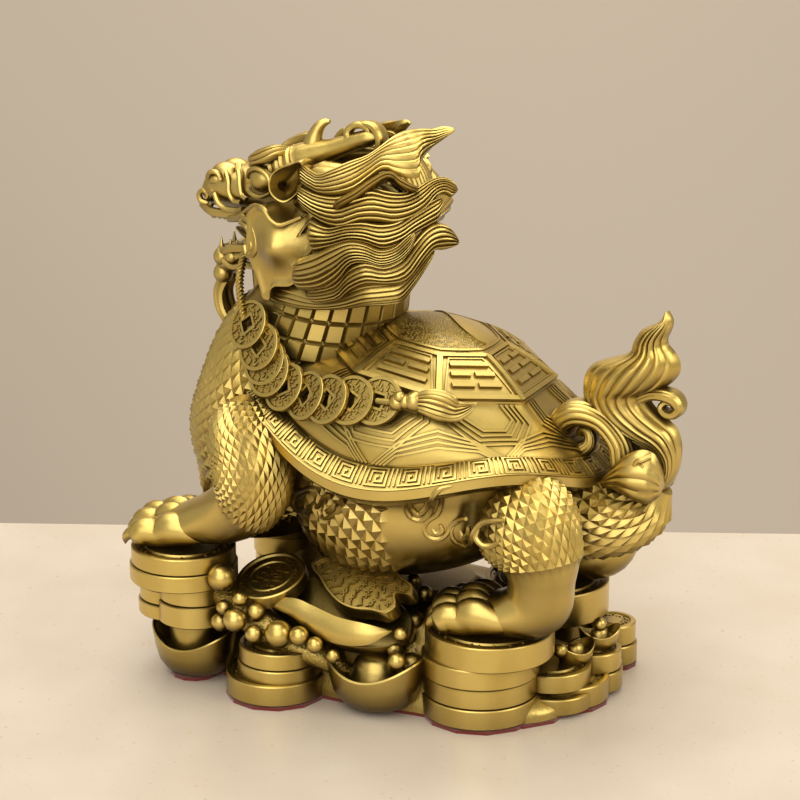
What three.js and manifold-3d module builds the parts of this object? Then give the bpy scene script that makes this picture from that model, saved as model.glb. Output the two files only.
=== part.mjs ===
// Dragon turtle: a cast brass table figure on a bed of coins, ingots and pearls.
// Millimetres, +Z up. The head looks along -X and the figure's left side is -Y.
import * as THREE from "three";
import { mergeVertices } from "three/addons/utils/BufferGeometryUtils.js";
import Module from "manifold-3d";

const wasm = await Module();
wasm.setup();

// Driving sizes in millimetres
const FIGURE_HEIGHT = 250;
const PAD_THICKNESS = 1.5;
const PAD_MARGIN = 0.2;
const CLEARANCE = 0.3;
const FRONT_STACK_DIAMETER = 48;
const REAR_STACK_DIAMETER = 56;
const STACK_FOOT_DIAMETER = 51;
const EDGE_STEP = 0.8;
const PEARL_DIAMETER = 11;
const INGOT_LENGTH = 42;
const PANEL_INGOT_LENGTH = 68;
const MEDALLION_DIAMETER = 32;
const MEDALLION_THICKNESS = 7;
const STRING_COIN_DIAMETER = 22;
const STRING_COIN_THICKNESS = 2.2;
const ROPE_DIAMETER = 3.4;
const SCALE_RELIEF = 1.5;
const BAR_RELIEF = 0.9;

// The figure's free forms are written in 250ths of its height, from the ground under its middle
const SHARE = FIGURE_HEIGHT / 250;
const TURN = 2 * Math.PI;
const EIGHTH = TURN / 8;
const SIDE = new THREE.Vector3(0, 1, 0);

const p = (x, y, z) => new THREE.Vector3(x, y, z).multiplyScalar(SHARE);
const mix = THREE.MathUtils.lerp;

// Solids

/** A closed geometry as a solid, turned outside out where its faces point in. */
function solid(geometry) {
  const bare = geometry.clone();
  for (const name of Object.keys(bare.attributes)) {
    if (name !== "position") bare.deleteAttribute(name);
  }
  const merged = mergeVertices(bare, 1e-4);
  const vertProperties = new Float32Array(merged.attributes.position.array);
  const triVerts = new Uint32Array(merged.index.array);
  if (volumeOf(vertProperties, triVerts) < 0) triVerts.reverse();
  return new wasm.Manifold(new wasm.Mesh({ numProp: 3, vertProperties, triVerts }));
}

/** Six times the volume inside a triangle mesh, negative where its faces point in. */
function volumeOf(points, corners) {
  const a = new THREE.Vector3();
  const b = new THREE.Vector3();
  const c = new THREE.Vector3();
  let sum = 0;
  for (let k = 0; k < corners.length; k += 3) {
    a.fromArray(points, 3 * corners[k]);
    b.fromArray(points, 3 * corners[k + 1]);
    c.fromArray(points, 3 * corners[k + 2]);
    sum += a.dot(b.cross(c));
  }
  return sum;
}

const join = (solids) => solids.reduce((whole, next) => whole.add(next));

/** A solid as a named mesh. */
function named(name, body, material) {
  const mesh = body.getMesh();
  const geometry = new THREE.BufferGeometry();
  geometry.setAttribute("position", new THREE.BufferAttribute(mesh.vertProperties, 3));
  geometry.setIndex(new THREE.BufferAttribute(mesh.triVerts, 1));
  const part = new THREE.Mesh(geometry, material);
  part.name = name;
  return part;
}

/**
 * A closed skin of rings: pointAt(u, v) gives a point at a share u round and v along.
 * Each end closes on its ring's middle. The diagonals join every second corner, so corners
 * that are raised in turn become four-sided pyramids.
 */
function skin(around, rows, pointAt) {
  const points = [];
  const corners = [];
  for (let j = 0; j <= rows; j++) {
    for (let i = 0; i < around; i++) points.push(pointAt(i / around, j / rows, i, j));
  }
  const ringMiddle = (j) => {
    const middle = new THREE.Vector3();
    for (let i = 0; i < around; i++) middle.addScaledVector(points[j * around + i], 1 / around);
    return middle;
  };
  const first = points.push(ringMiddle(0)) - 1;
  const last = points.push(ringMiddle(rows)) - 1;
  for (let i = 0; i < around; i++) {
    const next = (i + 1) % around;
    corners.push(first, next, i);
    corners.push(last, rows * around + i, rows * around + next);
    for (let j = 0; j < rows; j++) {
      const a = j * around + i;
      const b = j * around + next;
      const c = b + around;
      const d = a + around;
      if ((i + j) % 2) corners.push(a, b, d, b, c, d);
      else corners.push(a, b, c, a, c, d);
    }
  }
  const geometry = new THREE.BufferGeometry().setFromPoints(points);
  geometry.setIndex(corners);
  return solid(geometry);
}

/**
 * A limb through stations [x, y, z, half width, half depth]. The width lies towards `wide`,
 * the depth at right angles to it and to the way along. relief(i, j, u, v) is added outwards.
 */
function limb(stations, around, rows, { wide = SIDE, relief = () => 0 } = {}) {
  const way = new THREE.CatmullRomCurve3(stations.map(([x, y, z]) => p(x, y, z)));
  const sizes = new THREE.CatmullRomCurve3(stations.map(([, , , a, b = a]) => p(a, b, 0)));
  return skin(around, rows, (u, v, i, j) => {
    const along = way.getTangent(v);
    const across = wide.clone().addScaledVector(along, -wide.dot(along)).normalize();
    const deep = new THREE.Vector3().crossVectors(along, across);
    const size = sizes.getPoint(v);
    const lift = relief(i, j, u, v);
    return way
      .getPoint(v)
      .addScaledVector(across, Math.cos(TURN * u) * (Math.max(size.x, 0.2) + lift))
      .addScaledVector(deep, Math.sin(TURN * u) * (Math.max(size.y, 0.2) + lift));
  });
}

/** Pyramid scales: every second corner stands up, between two shares of the length. */
const scales = (from, to) => (i, j, u, v) =>
  (i + j) % 2 && v >= from && v <= to ? SCALE_RELIEF : 0;

/** Strands: every second rib of a lock stands up. */
const strands = (height) => (i) => (i % 2 ? height * SHARE : 0);

/** A ball in shares, squashed to three radii. */
function ball(x, y, z, rx, ry = rx, rz = rx) {
  const geometry = new THREE.SphereGeometry(1, 6, 4).rotateX(TURN / 4);
  geometry.scale(rx * SHARE, ry * SHARE, rz * SHARE);
  return solid(geometry.translate(x * SHARE, y * SHARE, z * SHARE));
}

/** A box by its middle and sizes, turned by a quaternion. */
function block(middle, sizes, turn = new THREE.Quaternion()) {
  const geometry = new THREE.BoxGeometry(...sizes).applyQuaternion(turn);
  return solid(geometry.translate(middle.x, middle.y, middle.z));
}

/** The same solid on the other side of the figure. */
const mirrored = (body) => body.mirror([0, 1, 0]);
const bothSides = (bodies) => bodies.flatMap((body) => [body, mirrored(body)]);

// Shell

const SHELL_X = 14;
const RIM_HALF_LENGTH = 84;
const RIM_HALF_WIDTH = 70;
const TOP_X = 20;
const TOP_RADIUS = 28;
const PLATE_RADIUS = 50;
const AROUND_SHELL = 24;

/** The rim's height rises and falls round the shell: a sum of cosines of the angle from the front. */
const wave = (angle, shares) =>
  shares.reduce((sum, share, k) => sum + share * Math.cos(k * angle), 0);
const rimHeight = (angle) => wave(angle, [117.2, 12.6, 7.4, 3.8, -3.6]);
const bandHeight = (angle) => wave(angle, [122.6, 11.1, 5.7, 2.7, -2.7]);
const topHeight = (x) => 156.6 - 0.15 * (x - TOP_X);
const plateHeight = (x) => 145.5 - 0.17 * (x - TOP_X);

/** Radius of a regular octagon whose flat sides face the front, the back and the flanks. */
function octagon(angle, radius) {
  const offFlat = angle - EIGHTH * Math.round(angle / EIGHTH);
  return (radius * Math.cos(EIGHTH / 2)) / Math.cos(offFlat);
}

/** The scutes meet in raised joints that run out from the octagon's corners. */
const onScuteJoint = (angle) => Math.abs(angle / EIGHTH - Math.floor(angle / EIGHTH) - 0.5) < 0.1;

const round = (angle, middleX, length, width) => [
  middleX - length * Math.cos(angle),
  -width * Math.sin(angle),
];

/** The shell and belly as rings from the taiji boss out to the rim and under to the belly. */
function shellRings() {
  const flat = (radius, height) => (angle) => {
    const r = octagon(angle, radius);
    const [x, y] = round(angle, TOP_X, r, r);
    return [x, y, height(x)];
  };
  const side = (out, down) => (angle) => {
    const r = octagon(angle, PLATE_RADIUS);
    const [x0, y0] = round(angle, TOP_X, r, r);
    const [x1, y1] = round(angle, SHELL_X, 76, 60);
    const ridge = 1 + (onScuteJoint(angle) ? 0.02 : 0);
    return [
      mix(x0, x1, out) * ridge,
      mix(y0, y1, out) * ridge,
      mix(plateHeight(x0) - 2, bandHeight(angle), down) * ridge,
    ];
  };
  const belt = (length, width, drop, height = rimHeight) => (angle) => {
    const [x, y] = round(angle, SHELL_X, length, width);
    return [x, y, height(angle) - drop];
  };
  const belly = (length, width, height, slope = 0.2) => (angle) => {
    const [x, y] = round(angle, SHELL_X + 4, length, width);
    return [x, y, height + slope * (x - SHELL_X)];
  };
  return [
    flat(TOP_RADIUS * 0.6, (x) => topHeight(x) + 5),
    flat(TOP_RADIUS, topHeight),
    flat(PLATE_RADIUS, plateHeight),
    side(0, 0),
    side(0.55, 0.3),
    side(0.9, 0.72),
    side(1, 1),
    belt(RIM_HALF_LENGTH, RIM_HALF_WIDTH, 0),
    belt(RIM_HALF_LENGTH - 0.5, RIM_HALF_WIDTH - 0.5, 4),
    belt(76, 62, 9),
    belly(67, 58, 93, 0.05),
    belly(62, 56, 78, 0.12),
    belly(50, 46, 63, 0.2),
    belly(28, 26, 53, 0.22),
  ];
}

function shellBody() {
  const rings = shellRings();
  return skin(AROUND_SHELL, rings.length - 1, (u, v, i, j) => p(...rings[j](TURN * u + EIGHTH / 6)));
}

/** Eight trigrams of three rows, whole or broken, in the early heaven order from the front. */
const TRIGRAMS = ["111", "110", "101", "100", "000", "001", "010", "011"];
const BAR_WIDTH = 3.4;
const BAR_ROWS = [0.24, 0.5, 0.76];

/** A bar with a ridge along it, between two places on a plane. */
function bar(start, end, up) {
  const along = end.clone().sub(start);
  const wide = new THREE.Vector3().crossVectors(up, along).setLength((BAR_WIDTH * SHARE) / 2);
  const sink = up.clone().multiplyScalar(-BAR_RELIEF);
  const base = [start.clone().add(wide), start.clone().sub(wide)];
  base.push(end.clone().sub(wide), end.clone().add(wide));
  const inset = along.clone().setLength(BAR_RELIEF);
  const crest = [start.clone().add(inset), end.clone().sub(inset)];
  const ridge = crest.map((at) => at.addScaledVector(up, BAR_RELIEF));
  const points = [...base.map((at) => at.add(sink)), ...ridge];
  const geometry = new THREE.BufferGeometry().setFromPoints(points);
  geometry.setIndex([0, 1, 2, 0, 2, 3, 0, 4, 1, 2, 5, 3, 1, 4, 5, 1, 5, 2, 0, 3, 5, 0, 5, 4]);
  return solid(geometry);
}

function trigrams() {
  const flatShare = Math.cos(EIGHTH / 2);
  return TRIGRAMS.flatMap((rows, panel) => {
    const angle = EIGHTH * panel;
    const edge = (radius, height) => {
      const [x, y] = round(angle, TOP_X, radius * flatShare, radius * flatShare);
      return p(x, y, height(x));
    };
    const inner = edge(TOP_RADIUS, topHeight);
    const outer = edge(PLATE_RADIUS, plateHeight);
    const along = p(Math.sin(angle), -Math.cos(angle), 0);
    const up = new THREE.Vector3().crossVectors(along, outer.clone().sub(inner)).normalize();
    if (up.z < 0) up.negate();
    return BAR_ROWS.flatMap((share, row) => {
      const middle = inner.clone().lerp(outer, share);
      const half = mix(TOP_RADIUS, PLATE_RADIUS, share) * 0.27;
      const at = (side) => middle.clone().addScaledVector(along, half * side);
      if (rows[row] === "1") return [bar(at(-1), at(1), up)];
      return [bar(at(-1), at(-0.16), up), bar(at(0.16), at(1), up)];
    });
  });
}

/** The raised line of the taiji disc: two half circles joined, over the boss. */
function taijiLine() {
  const steps = 8;
  const points = [];
  for (let k = 0; k <= steps; k++) {
    const t = mix(-1, 1, k / steps);
    const x = TOP_X + 9 * Math.sin(Math.PI * t);
    points.push([x, 17 * t, topHeight(x) + 5.9 - 6 * t * t, 1.1]);
  }
  return limb(points, 4, steps, { wide: new THREE.Vector3(1, 0, 0) });
}

// Neck and chest

function neck() {
  const stations = [
    [-60, 0, 60, 30, 24],
    [-61, 0, 76, 40, 33],
    [-58, 0, 88, 44, 40],
    [-55, 0, 102, 45, 45],
    [-52, 0, 117, 44, 44],
    [-48, 0, 134, 40, 41],
    [-39, 0, 152, 33, 36],
    [-31, 0, 168, 30, 32],
    [-27, 0, 186, 27, 27],
  ];
  return limb(stations, 22, 13, { relief: scales(0.05, 0.8) });
}

// Legs

const FRONT_PAW_HEIGHT = 62;
const REAR_PAW_HEIGHT = 40;
const FRONT_PAW = [-88, -50];
const REAR_PAW = [58, -38];

/** A clawed toe: a knuckle that drops to a pointed claw. */
function toe(x, y, z, reach, turnOut) {
  const way = (share) => [x - reach * share, y + turnOut * share];
  return limb(
    [
      [...way(-0.2), z + 7, 5, 6],
      [...way(0.45), z + 8, 6, 7.5],
      [...way(0.85), z + 5, 4.4, 5],
      [...way(1), z - 1.5, 1, 1],
    ],
    4,
    3,
  );
}

function toes(x, y, z, reach, count) {
  const offsets = [-12, -4, 4, 12].slice(0, count);
  return offsets.map((off) => toe(x, y + off, z, reach - Math.abs(off) * 0.2, off * 0.2));
}

function frontLeg(around, rows, toeCount) {
  const [x, y] = FRONT_PAW;
  const z = FRONT_PAW_HEIGHT;
  const stations = [
    [-53, -36, 120, 13, 14],
    [-51, -48, 108, 17, 18],
    [-48, -54, 92, 18, 18],
    [-50, -54, 78, 13, 16],
    [-66, -52, 74, 11, 13],
    [x + 6, y, z + 12, 17, 13],
    [x - 6, y, z + 9, 18, 12],
    [x - 15, y, z + 4, 14, 9],
  ];
  const leg = limb(stations, around, rows, { relief: scales(0.05, 0.45) });
  return [leg, ...toes(x - 7, y, z, 15, toeCount)];
}

function rearLeg(around, rows, toeCount) {
  const [x, y] = REAR_PAW;
  const z = REAR_PAW_HEIGHT;
  const stations = [
    [64, -30, 113, 14, 20],
    [69, -38, 105, 20, 29],
    [75, -42, 94, 19, 27],
    [82, -43, 82, 14, 18],
    [83, -42, 68, 13, 14],
    [80, -39, 55, 14, 15],
    [68, -38, z + 10, 16, 13],
    [x - 2, y, z + 9, 18, 12],
    [x - 10, y, z + 5, 15, 9],
  ];
  const leg = limb(stations, around, rows, { relief: scales(0.05, 0.36) });
  return [leg, ...toes(x - 4, y, z, 17, toeCount)];
}

/** Cuts a leg flat where its paw stands. */
function standing(bodies, [x, y], height) {
  const depth = 30 * SHARE;
  const under = p(x, y, height).setZ(height * SHARE - depth / 2);
  return join(bodies).subtract(block(under, [90 * SHARE, 60 * SHARE, depth]));
}

// Tail

function tail() {
  const body = [
    [78, 0, 104, 25, 23],
    [92, 0, 99, 22, 20],
    [106, 0, 98, 18, 15],
    [116, 0, 106, 14, 12],
    [118, 0, 119, 11, 12],
    [113, 0, 132, 11, 15],
    [106, 0, 143, 10, 16],
    [110, 0, 155, 8, 13],
    [117, 0, 166, 5, 6],
    [122, 0, 178, 1, 1],
  ];
  const tongues = [
    [[117, 0, 110, 6, 6], [126, 0, 118, 6, 5], [130, 0, 127, 4, 3], [129, 0, 135, 1, 1]],
    [[112, 0, 138, 8, 6], [121, 0, 146, 6, 5], [126, 0, 154, 4, 4], [125, 0, 164, 1, 1]],
    [[104, 0, 138, 8, 6], [93, 0, 144, 6, 5], [90, 0, 152, 4, 3], [98, 0, 160, 1, 1]],
  ];
  const skinOfTail = (i, j, u, v) => (v < 0.36 ? scales(0, 0.36)(i, j, u, v) : strands(1.4)(i));
  return [
    limb(body, 12, 13, { relief: skinOfTail }),
    ...tongues.map((stations) => limb(stations, 4, 3)),
    curl([89, -5, 122], 10.5, 1.1, 4.2, [108, -3, 113], 9),
    curl([127, -3, 140], 5, 0.9, 2.4, [119, -2, 128], 6),
  ];
}

/** A tendril that rolls up: from its root it runs round a middle, ever closer. */
function curl([cx, cy, cz], radius, turns, thick, [rx, ry, rz], steps) {
  const start = Math.atan2(rz - cz, rx - cx);
  const stations = [[rx, ry, rz, thick * 1.3]];
  for (let k = 1; k <= steps; k++) {
    const t = k / steps;
    const angle = start + Math.sign(rx - cx) * 0.5 + TURN * turns * t;
    const r = mix(radius, radius * 0.3, t);
    stations.push([cx + r * Math.cos(angle), cy, cz + r * Math.sin(angle), mix(thick, thick * 0.45, t)]);
  }
  return limb(stations, 5, steps);
}

// Head

function skull() {
  const stations = [
    [10, 0, 204, 16, 20],
    [-4, 0, 205, 24, 28],
    [-20, 0, 206, 27, 30],
    [-36, 0, 209, 26, 26],
    [-48, 0, 212, 22, 20],
    [-58, 0, 213, 17, 16],
    [-67, 0, 211.5, 13, 11],
    [-77, 0, 212, 12, 10.5],
    [-87, 0, 212, 11.5, 10.5],
    [-95, 0, 207, 7, 6],
  ];
  return limb(stations, 12, 9);
}

function jaw() {
  const stations = [
    [-34, 0, 184, 24, 14],
    [-48, 0, 185, 20, 10],
    [-60, 0, 186, 14, 6],
    [-72, 0, 185.5, 11, 5],
    [-82, 0, 181, 10, 7],
    [-90, 0, 175, 6.5, 5],
  ];
  return limb(stations, 8, 6);
}

/** Flame-edged outline of a cheek guard, in shares of x and z. */
const CHEEK_OUTLINE = [
  [-66, 203], [-52, 212], [-41, 207], [-26, 215], [-27, 208], [-20, 206],
  [-29, 197], [-26, 190], [-36, 189], [-46, 171], [-60, 183],
];

function cheek() {
  const outline = new THREE.Shape(CHEEK_OUTLINE.map(([x, z]) => new THREE.Vector2(x, z)));
  const plate = new THREE.ExtrudeGeometry(outline, { depth: 13, bevelEnabled: false });
  plate.rotateX(TURN / 4).scale(SHARE, SHARE, SHARE).translate(0, -19 * SHARE, 0);
  return [solid(plate), ball(-43, -30, 198, 12, 7, 13)];
}

function ear() {
  const cup = ball(-40, -29, 222, 10, 7, 13);
  const hollow = ball(-40, -36, 223, 7, 7, 9);
  return [cup.subtract(hollow)];
}

function horn() {
  const beam = [
    [-46, -10, 228, 5, 5],
    [-33, -11, 235, 4.8, 4.8],
    [-21, -12, 239.5, 4, 4],
    [-8, -12, 241, 3.4, 3.4],
    [-7, -12, 246.5, 2.6, 2.6],
    [-12, -12, 249, 1.8, 1.8],
    [-15, -12, 245.5, 1.2, 1.2],
  ];
  const prong = [
    [-38, -11, 234, 3.6, 3.6],
    [-37, -11, 243, 3, 3],
    [-29, -12, 248.5, 0.8, 0.8],
  ];
  return [limb(beam, 6, 8), limb(prong, 4, 3)];
}

function face() {
  const brow = [
    [-65, -12, 224, 4, 3], [-57, -15, 231, 5, 5], [-48, -16, 235, 5, 5], [-40, -14, 234, 3, 3],
  ];
  const moustache = [
    [-76, -11, 202, 2], [-64, -20, 206, 2.4], [-53, -30, 212, 2.4], [-41, -33, 206, 2.2],
    [-27, -32, 212, 1],
  ];
  const fang = [[-91, -6, 205, 2.2], [-90, -6.5, 200, 1.6], [-88, -6.5, 195, 0.4]];
  const lowTooth = [[-83, -6, 184, 2.2], [-84, -6, 189, 1.6], [-85, -6, 193, 0.4]];
  return [
    limb(brow, 5, 3),
    ball(-60, -14, 217, 6),
    ball(-88, -6, 214, 5, 5, 5),
    limb(moustache, 4, 5),
    limb(fang, 4, 2),
    limb(lowTooth, 4, 2),
  ];
}

function head() {
  const beard = [
    [-89, 0, 176, 5, 5], [-92, 0, 166, 3, 2.8], [-89, 0, 158, 2.4, 2.2], [-78, 0, 146, 2.4, 2.4],
  ];
  const tongue = [[-50, 0, 188, 8, 4], [-66, 0, 192, 6, 3], [-79, 0, 190, 4, 2.4]];
  return [
    skull(), jaw(), limb(tongue, 5, 3), limb(beard, 5, 4),
    ball(-85, 0, 216, 7.5, 9, 8), ball(-95, 0, 206, 4, 8, 4),
    ...bothSides([...cheek(), ...ear(), ...horn(), ...face()]),
  ];
}

// Mane

/** Locks that flow back from the cheek, each by its stations of place, half width and half depth. */
const LOCKS = [
  [
    [-22, -18, 226, 8, 9], [-4, -22, 232, 9, 9], [9, -16, 238, 8, 9], [18, -9, 243, 5, 5],
    [26, -5, 249, 1, 1],
  ],
  [
    [-28, -32, 210, 8, 9], [-8, -36, 214, 9, 10], [10, -30, 217, 8, 9], [20, -17, 223, 6, 7],
    [29, -7, 223, 1, 1],
  ],
  [
    [-26, -35, 197, 7, 8], [-6, -41, 203, 8, 9], [12, -35, 202, 8, 9], [22, -24, 208, 6, 7],
    [32, -12, 202, 1, 1],
  ],
  [
    [-28, -34, 187, 6, 7], [-12, -41, 190, 8, 8], [2, -42, 197, 7, 7], [14, -38, 196, 4, 4],
    [22, -33, 201, 1, 1],
  ],
  [
    [-42, -26, 174, 5, 5], [-20, -34, 174, 8, 8], [0, -33, 180, 9, 9], [12, -24, 188, 8, 9],
    [20, -12, 198, 2, 2],
  ],
];
const FAR_SIDE_SHORTER = 13;

function mane() {
  const mass = [
    [-30, 0, 164, 22, 18],
    [-26, 0, 178, 32, 22],
    [-17, 0, 194, 36, 25],
    [-14, 0, 207, 35, 26],
    [-14, 0, 224, 28, 20],
    [-13, 0, 237, 15, 12],
  ];
  const near = LOCKS.map((stations) => limb(stations, 6, 4, { relief: strands(1.3) }));
  const far = near
    .filter((lock, k) => k % 2 === 0)
    .map((lock) => mirrored(lock).translate([-FAR_SIDE_SHORTER * SHARE, 0, -SHARE]));
  return [limb(mass, 12, 5), ...near, ...far];
}

// The whole figure

function dragonTurtle() {
  const near = [
    standing(frontLeg(10, 10, 4), FRONT_PAW, FRONT_PAW_HEIGHT),
    standing(rearLeg(10, 11, 4), REAR_PAW, REAR_PAW_HEIGHT),
  ];
  const far = [
    standing(frontLeg(8, 8, 2), FRONT_PAW, FRONT_PAW_HEIGHT),
    standing(rearLeg(8, 8, 2), REAR_PAW, REAR_PAW_HEIGHT),
  ];
  return join([
    shellBody(), ...trigrams(), taijiLine(),
    neck(), ...head(), ...mane(), ...tail(),
    ...near, ...far.map(mirrored),
  ]);
}

// Treasure bed

const BED_BOTTOM = PAD_THICKNESS + CLEARANCE;
const STACK_SIDES = 12;

/** A stack of coins of equal thickness, each second one a little smaller. */
function stack([x, y], diameter, bottom, top, coins) {
  const coin = (top - bottom) / coins;
  const profile = [new THREE.Vector2(0, bottom)];
  for (let k = 0; k < coins; k++) {
    const radius = diameter / 2 - (k % 2) * EDGE_STEP;
    profile.push(new THREE.Vector2(radius, bottom + k * coin));
    profile.push(new THREE.Vector2(radius, bottom + (k + 1) * coin));
  }
  profile.push(new THREE.Vector2(0, top));
  const geometry = new THREE.LatheGeometry(profile, STACK_SIDES).rotateX(TURN / 4);
  return solid(geometry.translate(x * SHARE, y * SHARE, 0));
}

/** Rings of a boat-shaped ingot in half lengths: length, width, height and lift of the ends. */
const BOAT_RINGS = [
  [0.5, 0.42, 0, 0], [0.84, 0.62, 0.3, 0.04], [1, 0.7, 0.72, 0.4], [0.9, 0.6, 0.72, 0.4],
  [0.6, 0.48, 0.62, 0.04], [0.44, 0.38, 0.9, 0], [0.2, 0.18, 1.04, 0],
];

/** Rings of the ingot whose top is a raised panel with a lobed edge. */
const PANEL_RINGS = [
  [0.5, 0.3, -0.3, 0], [1, 0.46, 0, 0.06], [1, 0.46, 0.17, 0.06],
  [0.64, 0.38, 0.2, 0], [0.64, 0.38, 0.44, 0],
];

/** An ingot by its place, length and turns in degrees about X, Y and Z. */
function ingot(rings, [x, y, z], length, turns) {
  const half = length / 2;
  const body = skin(10, rings.length - 1, (u, v, i, j) => {
    const [long, wide, high, ends] = rings[j];
    const c = Math.cos(TURN * u);
    const s = Math.sin(TURN * u);
    return new THREE.Vector3(long * c, wide * s, high + ends * c * c).multiplyScalar(half);
  });
  return body.rotate(turns).translate([x * SHARE, y * SHARE, z * SHARE]);
}

function pearl([x, y, z], size = 1) {
  const geometry = new THREE.SphereGeometry((PEARL_DIAMETER / 2) * size, 6, 4);
  return solid(geometry.translate(x * SHARE, y * SHARE, z * SHARE));
}

const PEARLS = [
  [-66, -62, 41, 1.15], [-54, -60, 26, 0.95], [-45, -62, 33, 0.8], [-36, -64, 26, 0.9],
  [-26, -64, 28, 1.3], [-15, -62, 25, 0.95], [29, -54, 27, 0.95], [33, -59, 15, 1.1], [25, -50, 38, 0.9],
];

const HEAP_X = 4;
const HEAP_HALF_LENGTH = 88;
const HEAP_HALF_WIDTH = 53;

/** A point at a share u round an oblong with rounded corners. */
function oblong(u, length, width) {
  const fuller = (value) => Math.sign(value) * Math.abs(value) ** 0.45;
  return [HEAP_X - length * fuller(Math.cos(TURN * u)), width * fuller(Math.sin(TURN * u))];
}

/** The heap under the coins: rounded oblongs that grow smaller upwards. */
function heap() {
  const rings = [
    [1, 1, 0], [1, 1, 8], [0.93, 0.9, 20], [0.82, 0.82, 31], [0.66, 0.66, 39], [0.46, 0.42, 39.5],
    [0.36, 0.32, 44],
  ];
  return skin(16, rings.length - 1, (u, v, i, j) => {
    const [length, width, height] = rings[j];
    return p(...oblong(u, length * HEAP_HALF_LENGTH, width * HEAP_HALF_WIDTH), height);
  });
}

const FRONT_INGOT = [-78, -50];

/** Coin stacks by place, diameter, the heights of their feet and tops, and how many coins they hold. */
function stackPlan() {
  const frontTop = FRONT_PAW_HEIGHT * SHARE - CLEARANCE;
  const rearTop = REAR_PAW_HEIGHT * SHARE - CLEARANCE;
  const front = (share) => mix(BED_BOTTOM, frontTop, share);
  const rear = (share) => mix(BED_BOTTOM, rearTop, share);
  return [
    [[-82, -51], FRONT_STACK_DIAMETER, front(0.74), frontTop, 2],
    [[-90, -45], FRONT_STACK_DIAMETER * 0.7, front(0.42), front(0.76), 1],
    [[-77, -50], FRONT_STACK_DIAMETER * 0.7, front(0.42), front(0.76), 2],
    [[-78, -48], FRONT_STACK_DIAMETER * 0.5, front(0.16), front(0.5), 1],
    [[-35, -54], STACK_FOOT_DIAMETER * 0.86, BED_BOTTOM, rear(0.25), 1],
    [[-33, -54], STACK_FOOT_DIAMETER * 0.73, rear(0.2), rear(0.6), 2],
    [[55, -36], STACK_FOOT_DIAMETER, BED_BOTTOM, rear(0.72), 3],
    [[58, -33], REAR_STACK_DIAMETER, rear(0.7), rearTop, 1],
    [[82, -6], STACK_FOOT_DIAMETER * 0.78, BED_BOTTOM, rear(0.26), 1],
    [[87, 40], STACK_FOOT_DIAMETER * 0.45, BED_BOTTOM, rear(0.5), 1],
    [[-82, 51], FRONT_STACK_DIAMETER, front(0.6), frontTop, 1],
    [[-78, 50], FRONT_STACK_DIAMETER * 0.85, BED_BOTTOM, front(0.62), 1],
    [[-33, 54], STACK_FOOT_DIAMETER * 0.8, BED_BOTTOM, rear(0.6), 1],
    [[55, 36], STACK_FOOT_DIAMETER, BED_BOTTOM, rear(0.62), 1],
    [[58, 33], REAR_STACK_DIAMETER, rear(0.6), rearTop, 1],
  ];
}

function medallion() {
  const turn = new THREE.Quaternion().setFromUnitVectors(
    new THREE.Vector3(0, 1, 0),
    new THREE.Vector3(-0.1, -0.36, 0.93).normalize(),
  );
  const radius = MEDALLION_DIAMETER / 2;
  const coin = new THREE.CylinderGeometry(radius, radius, MEDALLION_THICKNESS, 14);
  coin.applyQuaternion(turn);
  return solid(coin.translate(-43 * SHARE, -48 * SHARE, 46 * SHARE));
}

function treasureBed() {
  const depth = 40 * SHARE;
  const middle = new THREE.Vector3(0, 0, BED_BOTTOM - depth / 2);
  const under = block(middle, [300 * SHARE, 200 * SHARE, depth]);
  const pearlHeaps = [
    [[-68, -48, 36, 9], [-46, -48, 31, 12], [-18, -50, 22, 11], [0, -48, 16, 9]],
    [[24, -38, 38, 8], [28, -44, 26, 10], [30, -50, 12, 10]],
  ];
  const ingots = [
    ingot(BOAT_RINGS, [...FRONT_INGOT, 0], INGOT_LENGTH, [0, 0, -8]),
    ingot(BOAT_RINGS, [12, -51, 0], INGOT_LENGTH * 1.12, [0, 0, -5]),
    ingot(PANEL_RINGS, [-4, -44, 41], PANEL_INGOT_LENGTH, [42, 6, -6]),
    ingot(BOAT_RINGS, [12, 50, 0], INGOT_LENGTH * 1.12, [0, 0, 5]),
    ingot(BOAT_RINGS, [94, 4, 6], INGOT_LENGTH * 0.7, [0, 0, 70]),
  ];
  return join([
    heap(),
    ...stackPlan().map((plan) => stack(...plan)),
    medallion(),
    ...ingots,
    ...pearlHeaps.map((stations) => limb(stations, 6, 3)),
    ...PEARLS.map(([x, y, z, size]) => pearl([x, y, z], size)),
  ]).subtract(under);
}

// Cash coin string

const ROPE = [
  [-66, -15, 193], [-67, -19, 184], [-66, -24, 176], [-63, -28, 167], [-60, -31, 160],
];
const STRING_COINS = [
  [-57, -33, 160], [-49, -38.5, 152.5], [-45, -41, 147], [-41, -44, 143], [-32, -48, 139],
  [-19, -53, 138], [-7, -57, 139], [4, -57, 140], [16, -56, 141],
];
const COIN_LEAN = 0.13;
const KNOT = [28, -55, 142];
const COLLAR = [33, -55, 143];
const TASSEL_TIP = [57, -46, 141];

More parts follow.
